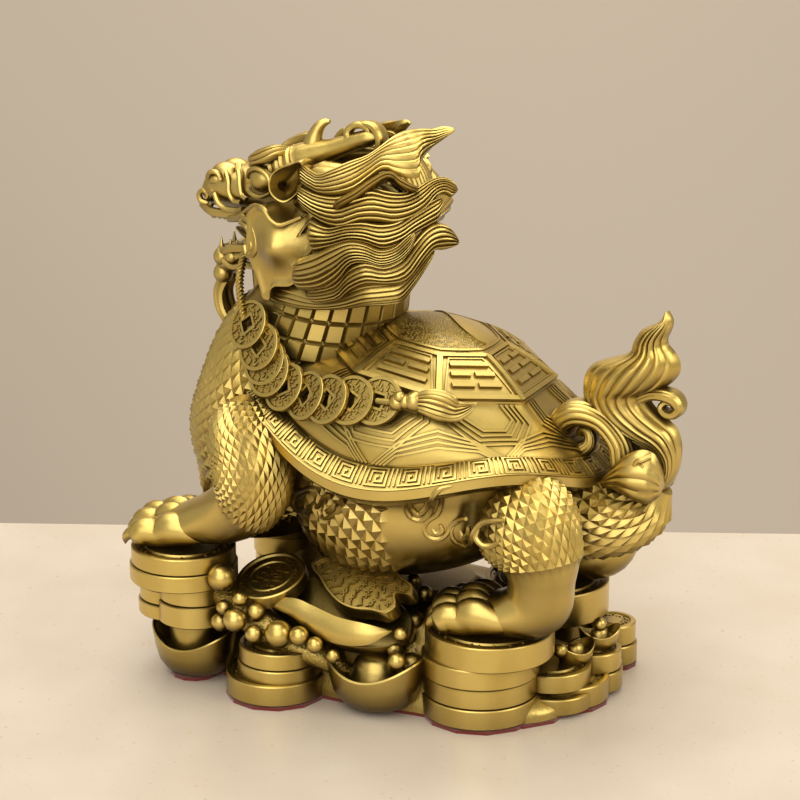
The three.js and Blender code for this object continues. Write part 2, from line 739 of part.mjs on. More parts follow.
function coinString(figure) {
  const way = new THREE.CatmullRomCurve3(STRING_COINS.map((place) => p(...place)));
  const last = STRING_COINS.length - 1;
  const radius = STRING_COIN_DIAMETER / 2;
  const coins = STRING_COINS.map((place, k) => {
    const along = way.getTangent(k / last);
    const out = new THREE.Vector3(-0.2, -1, 0.3 + (0.4 * k) / last);
    out.addScaledVector(along, -out.dot(along)).normalize();
    out.addScaledVector(along, -COIN_LEAN).normalize();
    const turn = new THREE.Quaternion().setFromUnitVectors(new THREE.Vector3(0, 1, 0), out);
    const geometry = new THREE.CylinderGeometry(radius, radius, STRING_COIN_THICKNESS, 10);
    geometry.applyQuaternion(turn);
    const middle = p(...place);
    return solid(geometry.translate(middle.x, middle.y, middle.z));
  });
  const thick = ROPE_DIAMETER / 2 / SHARE;
  const rope = limb(ROPE.map((place) => [...place, thick]), 4, 4);
  const tassel = [
    [...STRING_COINS[last], thick],
    [...KNOT, 3.2, 3.4],
    [...COLLAR, 3.6, 4],
    [40, -54, 143, 4, 5],
    [49, -51, 140, 4, 7],
    [...TASSEL_TIP, 1.5, 1.5],
  ];
  const brush = limb(tassel, 5, 6);
  return join([rope, ...coins, brush]).subtract(figure.translate([0, -CLEARANCE, CLEARANCE]));
}

// Felt pad

function feltPad() {
  const flat = { depth: PAD_THICKNESS, bevelEnabled: false, curveSegments: 6 };
  const layer = (outline) => solid(new THREE.ExtrudeGeometry(outline, flat));
  const round = (x, y, diameter) => {
    const outline = new THREE.Shape();
    return layer(outline.absarc(x * SHARE, y * SHARE, diameter / 2 + PAD_MARGIN, 0, TURN));
  };
  const corners = Array.from({ length: 16 }, (_, k) =>
    new THREE.Vector2(...oblong(k / 16, HEAP_HALF_LENGTH, HEAP_HALF_WIDTH)).multiplyScalar(SHARE),
  );
  const feet = stackPlan().filter(([, , bottom]) => bottom === BED_BOTTOM);
  return join([
    layer(new THREE.Shape(corners)),
    ...feet.map(([[x, y], diameter]) => round(x, y, diameter)),
    round(...FRONT_INGOT, INGOT_LENGTH * 0.5),
  ]);
}

// Materials

const brass = new THREE.MeshStandardMaterial({ color: 0xbe9b41, roughness: 0.34, metalness: 1 });
const felt = new THREE.MeshStandardMaterial({ color: 0x9c2b22, roughness: 0.95, metalness: 0 });

const figure = dragonTurtle();
const model = new THREE.Group();
model.add(
  named("dragon_turtle", figure, brass),
  named("treasure_bed", treasureBed(), brass),
  named("coin_string", coinString(figure), brass),
  named("felt_pad", feltPad(), felt),
);

const bounds = new THREE.Box3().setFromObject(model);
const middle = bounds.getCenter(new THREE.Vector3());
for (const part of model.children) part.position.set(-middle.x, -middle.y, -bounds.min.z);

export default model;
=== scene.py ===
# %% [markdown]
# # Dragon turtle figure
# A cast brass table figure: a turtle with a dragon's head and a flame tail stands on a bed of coins,
# boat-shaped ingots and pearls, and holds a rope of cash coins in its mouth. The real one is three
# castings and a felt pad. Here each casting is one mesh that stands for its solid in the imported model.
# The carving could be sculpted by hand or pressed in with a height picture. It is written as formulas
# on grids of two parameters instead, so every form can be read, measured and changed.

import bpy
import numpy as np
from mathutils import Euler, Matrix


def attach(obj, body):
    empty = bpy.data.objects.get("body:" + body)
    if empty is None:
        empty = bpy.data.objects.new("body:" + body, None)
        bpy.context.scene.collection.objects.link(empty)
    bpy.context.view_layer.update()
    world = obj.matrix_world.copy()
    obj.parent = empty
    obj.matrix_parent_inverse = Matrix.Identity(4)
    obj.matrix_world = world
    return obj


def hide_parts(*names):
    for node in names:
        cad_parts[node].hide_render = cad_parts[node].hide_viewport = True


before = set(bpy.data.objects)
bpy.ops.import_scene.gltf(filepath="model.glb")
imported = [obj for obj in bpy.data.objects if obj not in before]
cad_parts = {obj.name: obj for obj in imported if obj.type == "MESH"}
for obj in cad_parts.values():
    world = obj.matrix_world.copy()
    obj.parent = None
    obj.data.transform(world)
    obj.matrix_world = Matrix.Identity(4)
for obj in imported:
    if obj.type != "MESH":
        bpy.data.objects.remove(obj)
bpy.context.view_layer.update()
print("packed nodes", sorted(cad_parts))

# %% [markdown]
# ## Units and small helpers
# The carving is written in the figure's own millimetres, with the ground under its middle at zero, the
# head towards -X and its left side towards -Y, which is the near side in the photo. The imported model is
# centred on its box, so one shift takes a millimetre point to its place in metres.

# %% Places and directions
SHIFT = np.array([-11.0375, 0.5650, 0.0])
TURN = 2 * np.pi
EIGHTH = TURN / 8


def metres(points):
    """Figure millimetres to the frame's metres: add the shift, divide by a thousand."""
    return (np.asarray(points, float) + SHIFT) / 1000


def unit(vectors):
    """Each vector over its own length."""
    return vectors / np.maximum(np.linalg.norm(vectors, axis=-1, keepdims=True), 1e-9)


def mix(a, b, t):
    """a where t is 0, b where t is 1, in a straight line between."""
    return a + (b - a) * t


def smooth(x, low, high):
    """0 below low, 1 above high, with a soft step 3t^2 - 2t^3 between."""
    t = np.clip((x - low) / (high - low), 0, 1)
    return t * t * (3 - 2 * t)


def spline(stations, count):
    """Even places on a smooth line through the stations: cubic pieces whose slopes come from the
    neighbours, read at equal shares of the length of the chords. Extra columns ride along."""
    stations = np.asarray(stations, float)
    knots = np.r_[0, np.cumsum(np.linalg.norm(np.diff(stations[:, :3], axis=0), axis=1))]
    slopes = np.gradient(stations, knots, axis=0)
    at = np.linspace(0, knots[-1], count)
    k = np.clip(np.searchsorted(knots, at, side="right") - 1, 0, len(knots) - 2)
    gap = (knots[k + 1] - knots[k])[:, None]
    t = (at - knots[k])[:, None] / gap
    start, end = stations[k], stations[k + 1]
    leave, arrive = slopes[k] * gap, slopes[k + 1] * gap
    swing = (t**3 - 2 * t**2 + t) * leave + (t**3 - t**2) * arrive
    return mix(start, end, 3 * t**2 - 2 * t**3) + swing


def looped(places, count):
    """The same smooth line, closed on itself."""
    return spline(np.vstack([places, places[:1]]), count + 1)[:-1]


print("a spline through 3 stations gives", len(spline([[0, 0, 0], [1, 1, 0], [3, 0, 0]], 9)), "places")

# %% [markdown]
# ## Closed skins
# Every form is a grid of points, round in its columns, that is skinned with triangles and closed at both
# ends. Quads would do for smooth forms. Triangles with diagonals that turn from cell to cell also make
# the four-sided pyramids of the scales, because every second corner can stand up as a crisp point.

# %% A grid to a closed skin
def skin(grid, weave=False, ring=False, grain=0.0):
    """Triangles over a grid of rows and columns that closes round its columns. The end rows close on
    their middles, or on each other in a ring. A weave turns the diagonal in every second cell.
    Gives points, triangles that face outwards, and the share of stipple at each point."""
    rows, around = grid.shape[:2]
    row, column = np.indices((rows if ring else rows - 1, around))
    a = row * around + column
    b = row * around + (column + 1) % around
    c = (row + 1) % rows * around + (column + 1) % around
    d = (row + 1) % rows * around + column
    crossed = ((row + column) % 2 == 1) & weave
    halves = [np.where(crossed, [a, b, d], [a, b, c]), np.where(crossed, [b, c, d], [a, c, d])]
    triangles = [half.reshape(3, -1).T for half in halves]
    points = grid.reshape(-1, 3)
    if not ring:
        at = np.arange(around)
        after = (at + 1) % around
        last = (rows - 1) * around
        triangles.append(np.c_[np.full(around, len(points)), after, at])
        triangles.append(np.c_[np.full(around, len(points) + 1), last + at, last + after])
        points = np.vstack([points, grid[0].mean(0), grid[-1].mean(0)])
    triangles = np.vstack(triangles)
    one, two, three = (points[triangles[:, k]] for k in range(3))
    if np.einsum("ij,ij->", one, np.cross(two, three)) < 0:
        triangles = triangles[:, ::-1]
    return points, triangles, np.full(len(points), float(grain))


def joined(parts):
    """Several skins in one, with the corner numbers of each moved past those before it."""
    sizes = np.cumsum([0] + [len(points) for points, _, _ in parts])
    corners = [triangles + start for (_, triangles, _), start in zip(parts, sizes)]
    return np.vstack([p for p, _, _ in parts]), np.vstack(corners), np.concatenate([g for _, _, g in parts])


def mirrored(part):
    """The same skin on the figure's other side: y changes sign, and so does the order of corners."""
    points, triangles, grain = part
    return points * [1, -1, 1], triangles[:, ::-1], grain


def both(parts):
    """The near side's parts, and their mirror images on the far side."""
    return parts + [mirrored(part) for part in parts]


sample = skin(np.random.default_rng(1).random((4, 6, 3)))
print("a skin of 4 rows by 6 columns has", len(sample[1]), "triangles")

# %% [markdown]
# ## Limbs, ridges, balls and turned forms
# Legs, locks of hair, horns and curls are limbs: a cross-section carried along a spline. Raised lines,
# as on the shell, are ridges: a trapezoid carried along a path with mitred corners. Curve objects with a
# bevel could draw both, but a limb here can also change its width, its ribs and its scales on the way.

# %% Carried and turned forms
THINNEST = 0.08  # half thickness in millimetres, so that no limb ends in a fold
MITRE_LIMIT = 0.4  # smallest cosine that a ridge's corner is widened by


def limb(
    stations, around=16, rows=24, wide=(0, 1, 0), out=None, lift=None, weave=False, grain=0.0, square=1.0
):
    """A section carried along stations x, y, z, half width, half depth: at share u round it lies at
    cos and sin of the turn u, times the halves plus a lift. The width lies towards `wide`, or the
    depth towards `out`. A power below 1 on cos and sin squares the section off."""
    line = spline(stations, rows)
    middle = line[:, :3]
    half = np.maximum(line[:, [3, -1]], THINNEST)[:, :, None]
    along = unit(np.gradient(middle, axis=0))
    if out is None:
        wide = np.broadcast_to(np.asarray(wide, float), middle.shape)
        across = unit(wide - along * np.sum(wide * along, axis=1, keepdims=True))
    else:
        facing = out(middle) if callable(out) else np.broadcast_to(np.asarray(out, float), middle.shape)
        across = unit(np.cross(facing, along))
    deep = np.cross(along, across)
    u, v = np.meshgrid(np.arange(around) / around, np.linspace(0, 1, rows))
    extra = lift(u, v) if lift else 0.0
    c, s = np.cos(TURN * u), np.sin(TURN * u)
    c, s = np.sign(c) * np.abs(c) ** square, np.sign(s) * np.abs(s) ** square
    sideways = across[:, None] * (c * (half[:, 0] + extra))[:, :, None]
    grid = middle[:, None] + sideways + deep[:, None] * (s * (half[:, 1] + extra))[:, :, None]
    return skin(grid, weave, grain=grain)


def ridge(path, up, half=0.6, height=0.6, sink=0.8, crown=0.55, closed=False):
    """A raised line: a trapezoid of half width `half` at its foot and `crown` times that at its top,
    carried along the path. At a corner it leans to the mean of both sides and widens to mitre."""
    path = np.asarray(path, float)
    up = unit(np.broadcast_to(np.asarray(up, float), path.shape))
    if closed:
        before, after = np.roll(path, 1, axis=0), np.roll(path, -1, axis=0)
    else:
        before = np.vstack([2 * path[0] - path[1], path[:-1]])
        after = np.vstack([path[1:], 2 * path[-1] - path[-2]])
    side_in = unit(np.cross(up, path - before))
    side_out = unit(np.cross(up, after - path))
    side = unit(side_in + side_out)
    side /= np.maximum(np.sum(side * side_in, axis=1, keepdims=True), MITRE_LIMIT)
    section = np.array([[-half, -sink], [-half * crown, height], [half * crown, height], [half, -sink]])
    grid = path[:, None] + side[:, None] * section[:, :1] + up[:, None] * section[:, 1:]
    return skin(grid, ring=closed)


def ball(x, y, z, rx, ry=None, rz=None, around=20, rows=12):
    """A ball squashed to three radii: rings from pole to pole."""
    radii = [rx, rx if ry is None else ry, rx if rz is None else rz]
    tilt = np.linspace(0.05, 0.95, rows) * np.pi
    tilt, u = np.meshgrid(tilt, np.arange(around) / around * TURN, indexing="ij")
    grid = np.stack([np.sin(tilt) * np.cos(u), np.sin(tilt) * np.sin(u), np.cos(tilt)], axis=-1)
    return skin(grid * radii + [x, y, z])


def turned(profile, x=0.0, y=0.0, around=48):
    """A turned form: the profile of radius and height goes round an upright axis at x, y."""
    profile = np.asarray(profile, float)
    u = np.arange(around) / around * TURN
    ring = np.stack([np.cos(u), np.sin(u), np.zeros(around)], axis=-1)
    return skin(profile[:, :1, None] * ring + [0, 0, 1] * profile[:, 1:, None] + [x, y, 0])


def rolled(centre, root, radius, turns, thick):
    """A tendril that rolls up in the plane of x and z: from its root it runs round the centre on a
    radius that shrinks to a sixth, while its own half thickness shrinks to four tenths."""
    (cx, cy, cz), (rx, ry, rz) = centre, root
    t = np.linspace(0, 1, 22)[1:]
    angle = np.arctan2(rz - cz, rx - cx) + 0.35 + TURN * turns * t
    r = radius * mix(1, 0.16, t**0.9)
    halves = thick * mix(1, 0.42, t)
    roll = np.c_[cx + r * np.cos(angle), np.full(len(t), cy), cz + r * np.sin(angle), halves, halves]
    rib = lambda u, v: 0.16 * thick * (np.abs(np.cos(np.pi * u)) - 0.6)
    return limb(np.vstack([[rx, ry, rz, thick, thick], roll]), 10, 26, lift=rib)


print("helpers ready: limb, ridge, ball, turned and rolled")

# %% [markdown]
# ## The shell
# On the real figure the shell has a domed disc with the taiji line and a stippled half, a plate of eight
# trigram panels, flanks of smooth scutes with nested ridges between them, a slanted band of meander keys
# and a smooth lip. One formula gives the bare surface from two numbers: the angle from the front, and s,
# which runs from the disc's middle over the plate and the flank to the rim. The raised lines are then
# laid on it as ridges, because a height picture would blur their crisp edges.

# %% The bare shell
SHELL_X, TOP_X = 14.0, 20.0  # middles of the rim and of the disc
DISC_RADIUS, DISC_RISE = 27.0, 6.0
TOP_RADIUS, PLATE_RADIUS = 28.0, 50.0  # corners of the two octagons
PLATE_STEP = 2.2  # the flank starts this far below the plate's edge
PLATE_SWELL, BAND_SWELL = 0.9, 0.8
BAND = (76.0, 60.0)  # half length and half width of the inner oval
RIM = (84.0, 70.0)  # and of the outer one


def octagon(angle, radius):
    """Radius of an octagon whose flat sides face the front, the back and the flanks."""
    off = angle - EIGHTH * np.round(angle / EIGHTH)
    return radius * np.cos(EIGHTH / 2) / np.cos(off)


def wave(angle, shares):
    """A sum of cosines of whole multiples of the angle."""
    return sum(share * np.cos(k * angle) for k, share in enumerate(shares))


def rim_height(angle):
    """Height of the outer oval: high at the neck, low at the flanks and the tail."""
    return wave(angle, [117.2, 12.6, 7.4, 3.8, -3.6])


def band_height(angle):
    """Height of the band's inner oval."""
    return wave(angle, [122.6, 11.1, 5.7, 2.7, -2.7])


def top_height(x):
    """Height of the disc's edge, which slopes to the tail."""
    return 156.6 - 0.15 * (x - TOP_X)


def plate_height(x):
    """Height of the plate's outer edge, which slopes a little more."""
    return 145.5 - 0.17 * (x - TOP_X)


def shell_at(angle, s):
    """A point of the shell. s from 0 to 1 is the disc, to 2 the plate, to 3 the flank, to 4 the band.
    The disc is a low dome and the plate nearly flat. The flank leaves it by 1-(1-t)^1.7 and drops by
    t^1.25, but more straight down towards the tail. The band is straight from an inner to an outer
    oval, whose heights are waves."""
    angle, s = np.broadcast_arrays(np.asarray(angle, float), np.minimum(s, 3.9999))
    zone = np.floor(s)
    t = s - zone
    c, q = np.cos(angle), np.sin(angle)
    inner, outer = octagon(angle, TOP_RADIUS), octagon(angle, PLATE_RADIUS)
    r = np.where(zone == 0, t * mix(DISC_RADIUS, inner, t**4), mix(inner, outer, t))
    steep = 0.65 * smooth(-c, 0.2, 0.9)
    out, down = mix(1 - (1 - t) ** 1.7, t**1.1, steep), mix(t**1.25, t**0.85, steep)
    x = np.select(
        [zone < 2, zone == 2],
        [TOP_X - r * c, mix(TOP_X - outer * c, SHELL_X - BAND[0] * c, out)],
        SHELL_X - mix(BAND[0], RIM[0], t) * c,
    )
    y = np.select(
        [zone < 2, zone == 2], [-r * q, -mix(outer, BAND[1], out) * q], -mix(BAND[1], RIM[1], t) * q,
    )
    edge = plate_height(TOP_X - outer * c)
    z = np.select(
        [zone == 0, zone == 1, zone == 2],
        [
            top_height(x) + DISC_RISE * (1 - t**2.4),
            mix(top_height(TOP_X - inner * c), edge, t) + PLATE_SWELL * np.sin(np.pi * t),
            mix(edge - PLATE_STEP, band_height(angle), down),
        ],
        mix(band_height(angle), rim_height(angle), t) + BAND_SWELL * np.sin(np.pi * t),
    )
    return np.stack([x, y, z], axis=-1)


def shell_up(angle, s):
    """The way out of the shell: the cross product of its two slopes, read a hundredth apart."""
    s = np.clip(s, 0.02, 3.98)
    s = np.where((s > 1.98) & (s < 2.02), 2.02, s)
    over = shell_at(angle + 0.01, s) - shell_at(angle - 0.01, s)
    down = shell_at(angle, s + 0.01) - shell_at(angle, s - 0.01)
    up = unit(np.cross(down, over))
    return up * np.where(up[..., 2:] < 0, -1, 1)


AROUND_SHELL = 156
angle = np.arange(AROUND_SHELL) / AROUND_SHELL * TURN
LEVELS = np.r_[
    np.linspace(0.04, 0.999, 12), np.linspace(1, 1.999, 8), np.linspace(2, 2.999, 16), np.linspace(3, 4, 6)
]
carapace = shell_at(angle[None], LEVELS[:, None])
rim = carapace[-1]
centre = np.array([SHELL_X, 0, 0])
under = [rim - [0, 0, drop] for drop in (2.2, 4.2)]
TUCK = ((0.985, 1.2), (0.9, 4.5), (0.8, 8.0))  # share of the rim's width, and drop below it
tuck = [(under[-1] - centre) * [k, k, 1] + centre - [0, 0, drop] for k, drop in TUCK]
shell_grid = np.concatenate([carapace, under, tuck])
shell_skin = skin(shell_grid)
print("shell", shell_grid.shape, "rim", rim[:, 2].min().round(1), "top", carapace[..., 2].max().round(1))

# %% The stippled half of the disc and the taiji line
def taiji_y(x):
    """The line between the halves: one sine wave of 13 mm and half a length of 36 mm along the figure,
    9 mm off the middle towards the far side."""
    return 9.0 - 13.0 * np.sin(np.pi * np.clip((x - TOP_X) / 36, -1, 1))


YIN_RADIUS, DISC_FOOT = 24.0, 150.0
points, triangles, grain = shell_skin
disc = np.hypot(points[:, 0] - TOP_X, points[:, 1])
yin = (disc < YIN_RADIUS) & (points[:, 1] < taiji_y(points[:, 0])) & (points[:, 2] > DISC_FOOT)
shell_skin = points, triangles, np.where(yin, 1.0, grain)
x = TOP_X + np.linspace(-22.5, 22.5, 40)
y = taiji_y(x)
reach = np.hypot(x - TOP_X, y)
line_angle, line_s = np.arctan2(-y, TOP_X - x), np.clip(reach / DISC_RADIUS, 0.03, 0.97)
taiji = [ridge(shell_at(line_angle, line_s), shell_up(line_angle, line_s), 0.9, 0.7, 1.5)]
hoop = np.linspace(0, TURN, 97)[:-1]
taiji.append(ridge(shell_at(hoop, 0.9), shell_up(hoop, 0.9), 0.9, 0.6, 1.2, closed=True))
print("taiji line", len(taiji[0][0]), "points")

# %% [markdown]
# ## Lines on the shell
# Panel frames, trigram bars, scute ridges and meander keys are all the same thing: a path in a flat chart
# of the shell, in millimetres across and shares down, taken to the surface and raised. They could be
# drawn straight on the curved shell. A flat chart keeps every line square to its panel, and one drawing
# serves all panels, as a pattern cutter's template does.

# %% Frames and trigram bars
SHARE_MM = 40.0  # a share of 1 down the shell is about as long as this
LINE_STEP = 4.0


def refined(path, step, closed=False):
    """The same corners with even places between them, so that a long line can follow the surface."""
    path = np.asarray(path, float)
    ends = np.vstack([path[1:], path[:1]]) if closed else path[1:]
    counts = [max(int(np.ceil(np.linalg.norm(b - a) / step)), 1) for a, b in zip(path, ends)]
    shares = [np.linspace(0, 1, count, endpoint=False)[:, None] for count in counts]
    pieces = [mix(a, b, share) for a, b, share in zip(path, ends, shares)]
    return np.vstack(pieces if closed else pieces + [path[-1:]])


def on_plate(panel, path):
    """A chart of one panel: millimetres across and share outwards, to angle and s."""
    across, share = np.asarray(path, float).T
    flat = mix(TOP_RADIUS, PLATE_RADIUS, share) * np.cos(EIGHTH / 2)
    return EIGHTH * panel + np.arctan2(across, flat), 1 + np.clip(share, 0.004, 0.996)


def raised(chart, path, half, height, closed=False, sink=1.0, crown=0.7):
    """A ridge along a path of the chart, lying on the shell."""
    angle, s = chart(refined(path * [1, SHARE_MM], LINE_STEP, closed) / [1, SHARE_MM])
    return ridge(shell_at(angle, s), shell_up(angle, s), half, height, sink, crown, closed)


# From the front round the near side, each sign's bars from the disc outwards: 1 is a whole bar.
TRIGRAMS = ["111", "110", "101", "100", "000", "001", "010", "011"]
BAR_SHARES = (0.27, 0.5, 0.73)
plate_lines = []
for panel, rows in enumerate(TRIGRAMS):
    chart = lambda path, panel=panel: on_plate(panel, path)
    corner_in, corner_out = (radius * np.sin(EIGHTH / 2) for radius in (TOP_RADIUS, PLATE_RADIUS))
    spoke = np.array([[corner_in, 0.0], [corner_out, 1.0]])
    plate_lines.append(raised(chart, spoke, 1.7, 1.0))
    inner, outer = corner_in - 3.0, corner_out - 3.6
    frame_line = [[-inner, 0.1], [inner, 0.1], [outer, 0.9], [-outer, 0.9]]
    plate_lines.append(raised(chart, np.array(frame_line), 0.5, 0.5, closed=True))
    for share, row in zip(BAR_SHARES, rows):
        reach = mix(corner_in, corner_out, share) * 0.66
        spans = [(-reach, reach)] if row == "1" else [(-reach, -1.1), (1.1, reach)]
        for start, end in spans:
            bar = np.array([[start, share], [end, share]])
            plate_lines.append(raised(chart, bar, 1.75, 1.3, crown=0.62))
hoop = np.linspace(0, TURN, 129)[:-1]
for s, half in ((1.02, 1.3), (1.965, 1.5)):
    plate_lines.append(ridge(shell_at(hoop, s), shell_up(hoop, s), half, 1.0, 1.0, 0.7, closed=True))
print("plate lines", len(plate_lines))

# %% Nested ridges of the scutes
def on_flank(panel, path):
    """A chart of the flank: millimetres across at the local radius, and the share down."""
    across, share = np.asarray(path, float).T
    return EIGHTH * panel + across / mix(50.0, 68.0, share), 2 + np.clip(share, 0.01, 0.985)


scute_lines = []
for panel in range(8):
    upper = lambda path, panel=panel: on_flank(panel, path)
    lower = lambda path, panel=panel: on_flank(panel + 0.5, path)
    # Four nested lines a scute, each a few millimetres outside the last.
    for j in range(4):
        top, bend, foot = 9.0 + 2.3 * j, 11.0 + 2.5 * j, 5.0 + 1.6 * j
        half_way, low = 0.28 + 0.03 * j, 0.5 + 0.085 * j
        line = [[-top, 0.01], [-bend, half_way], [-foot, low], [foot, low], [bend, half_way], [top, 0.01]]
        scute_lines.append(raised(upper, np.array(line), 0.65, 0.8, sink=0.8))
        width, apex = 21.0 + 1.5 * j, 0.74 - 0.085 * j
        shoulder = [16.0 - 0.6 * j, 0.86 - 0.06 * j]
        line = [[-width, 0.985], [-shoulder[0], shoulder[1]], [0, apex], shoulder, [width, 0.985]]
        scute_lines.append(raised(lower, np.array(line), 0.65, 0.8, sink=0.8))
print("scute lines", len(scute_lines))

# %% Meander keys round the band
KEYS = 32
dense = np.linspace(0, TURN, 721)
ring = shell_at(dense, 3.5)
run = np.r_[0, np.cumsum(np.linalg.norm(np.diff(ring, axis=0), axis=1))]
PITCH = run[-1] / KEYS
band_width = np.linalg.norm(shell_at(dense, 3.99) - shell_at(dense, 3.01), axis=1)


def on_band(place, path):
    """A chart of the band: millimetres along the run from a place, and millimetres outwards."""
    along, across = np.asarray(path, float).T
    angle = np.interp((place + along) % run[-1], run, dense)
    return angle, 3.5 + across / np.interp(angle, dense, band_width)


KEY_FRAME = np.array([[-4.4, -4.1], [4.4, -4.1], [4.4, 4.1], [-4.4, 4.1]])
KEY_SPIRAL = np.array([
    [-2.5, 2.4], [-2.5, -2.3], [2.6, -2.3], [2.6, 2.4], [-0.3, 2.4], [-0.3, 0.2], [0.9, 0.2],
])
meander = []
for key in range(KEYS):
    chart = lambda path, place=(key + 0.5) * PITCH: on_band(place, path)
    for path, closed in ((KEY_FRAME, True), (KEY_SPIRAL, False)):
        place, s = chart(refined(path, 5.0, closed))
        meander.append(ridge(shell_at(place, s), shell_up(place, s), 0.7, 0.75, 0.6, 0.6, closed))
    for off in (-1.0, 1.0):
        bar = np.array([[PITCH / 2 + off, -4.3], [PITCH / 2 + off, 4.3]])
        place, s = chart(bar)
        meander.append(ridge(shell_at(place, s), shell_up(place, s), 0.55, 0.75, 0.6, 0.6))
for s in (3.03, 3.97):
    meander.append(ridge(shell_at(hoop, s), shell_up(hoop, s), 0.6, 0.5, 0.6, closed=True))
shell_parts = [shell_skin, *taiji, *plate_lines, *scute_lines, *meander]
print("meander pitch", PITCH.round(2), "mm, shell triangles", sum(len(part[1]) for part in shell_parts))

# %% [markdown]
# ## Belly, neck and chest
# Under the shell the real figure is smooth at the flanks and covered with four-sided pyramid scales
# elsewhere, each about 7 mm across. Scales could be copied one by one over the surface. Here the
# surface's own grid is spaced at half a scale, and every second corner is lifted, so that the scales
# close up without gaps on any bend.

# %% Scale patterns and the belly
def scales(height, start=0.0, end=1.0, base=0.0):
    """Every second corner of the weave stands up between two shares of the length, which gives
    four-sided pyramids that meet at their corners."""

    def lift(u, v):
        row, column = np.indices(u.shape)
        return ((v >= start) & (v <= end)) * (base + height * ((row + column) % 2))

    return lift


def through(rings, count):
    """Rings between the given rings: the same smooth spline, run on every column at once."""
    rings = np.asarray(rings, float)
    knots = np.arange(len(rings), dtype=float)
    flat = rings.reshape(len(rings), -1)
    line = spline(np.hstack([np.c_[knots, knots * 0, knots * 0], flat]), count)
    return line[:, 3:].reshape(count, *rings.shape[1:])


def leaf(
    one, other, rows=30, ribs=6, bulge=4.0, deep=2.0, out=(0, -1, 0), relief=0.5, two_sided=False, over=0.0
):
    """A lock between two edge lines with matching places. From edge to edge it rises by a power of a
    sine to `bulge`, with ribs that are the size of a finer sine, and returns flat behind. Where the
    edges draw together it thins by the square root of its width."""
    edges = through(np.stack([one, other], axis=1), rows)
    middle, half = edges.mean(axis=1), (edges[:, 1] - edges[:, 0]) / 2
    width = np.linalg.norm(half, axis=1, keepdims=True)
    facing = out(middle) if callable(out) else np.broadcast_to(np.asarray(out, float), middle.shape)
    facing = unit(facing - half * np.sum(facing * half, axis=1, keepdims=True) / width**2)
    front = np.linspace(0, 1, 4 * ribs + 1)
    back = front[::-1][1:-1] if two_sided else np.linspace(1, 0, 7)[1:-1]
    a = np.r_[front, back]
    side = np.r_[np.ones(len(front)), -np.ones(len(back))]
    thick = np.sqrt(width / width.max())
    dome = np.maximum(np.sin(np.pi * a), 0) ** 0.7 * np.where(side > 0, bulge, deep)
    ribbed = ((side > 0) | two_sided) * smooth(width / width.max(), 0.05, 0.5)
    groove = relief * (np.abs(np.sin(np.pi * ribs * a)) ** 0.7 - 0.4) * ribbed
    height = side * (dome * thick + groove) + over
    across = half[:, None] * (2 * a - 1)[None, :, None]
    return skin(middle[:, None] + across + facing[:, None] * height[:, :, None])


AROUND_BELLY = 108
SCALED_TURN = 1.62  # scales reach this far round from the front, in radians
BELLY_SCALE, BELLY_SINK = 1.6, 0.4
angle = np.arange(AROUND_BELLY) / AROUND_BELLY * TURN
flank_x = SHELL_X + 4


def oval(length, width, height, slope=0.0):
    """A ring of the belly: an oval whose height rises towards the tail."""
    x = flank_x - length * np.cos(angle)
    return np.stack([x, -width * np.sin(angle), height + slope * (x - SHELL_X)], axis=-1)


belly_rings = through(
    [
        oval(73, 61, rim_height(angle) - 6),
        oval(70, 59.5, 0.5 * rim_height(angle) + 44),
        oval(67, 58, 93, 0.05),
        oval(62, 56, 78, 0.12),
        oval(50, 46, 63, 0.2),
        oval(28, 26, 53, 0.22),
    ],
    18,
)
row, column = np.indices(belly_rings.shape[:2])
toward_front = np.abs((angle + np.pi) % TURN - np.pi)[None] < SCALED_TURN
scaled = toward_front & (row > 1) & (row < 16)
outward = unit(belly_rings - [flank_x, 0, 92])
rise = scaled * (BELLY_SCALE * ((row + column) % 2) - BELLY_SINK)
belly_rings = belly_rings + outward * rise[:, :, None]
belly = skin(belly_rings, weave=True)
print("belly", belly_rings.shape)

# %% Neck and chest
NECK = [
    [-60, 0, 60, 30, 24], [-61, 0, 76, 40, 33], [-58, 0, 88, 44, 40], [-55, 0, 102, 45, 45],
    [-52, 0, 117, 44, 44], [-48, 0, 134, 40, 41], [-39, 0, 152, 33, 36], [-31, 0, 168, 30, 32],
    [-27, 0, 186, 27, 27],
]
chest_scales = scales(1.5, 0.03, 0.7)
neck = limb(NECK, 76, 39, lift=lambda u, v: chest_scales(u, v) - 0.7, weave=True)
TILES, TILE_ROWS = 26, 3
STEPS = np.array([0.0, 0.12, 0.88])  # shares of a tile: its groove, its first edge and its last
along = (np.arange(TILES)[:, None] + STEPS).ravel() / TILES
upward = np.r_[(np.arange(TILE_ROWS)[:, None] + STEPS).ravel(), TILE_ROWS] / TILE_ROWS
u, t = np.meshgrid(along * TURN, upward, indexing="xy")
row, column = np.indices(t.shape)
swell = 1.4 * (row % 3 > 0) * (column % 3 > 0) - 0.2
collar = np.stack(
    [
        mix(-36.5, -28.5, t) - (mix(34.0, 29.5, t) + swell) * np.cos(u),
        -(mix(34.5, 29.5, t) + swell) * np.sin(u), mix(147.0, 174.0, t) + 3.0 * np.cos(u),
    ],
    axis=-1,
)
collar = skin(collar)
print("neck and chest", len(neck[1]) + len(collar[1]), "triangles")

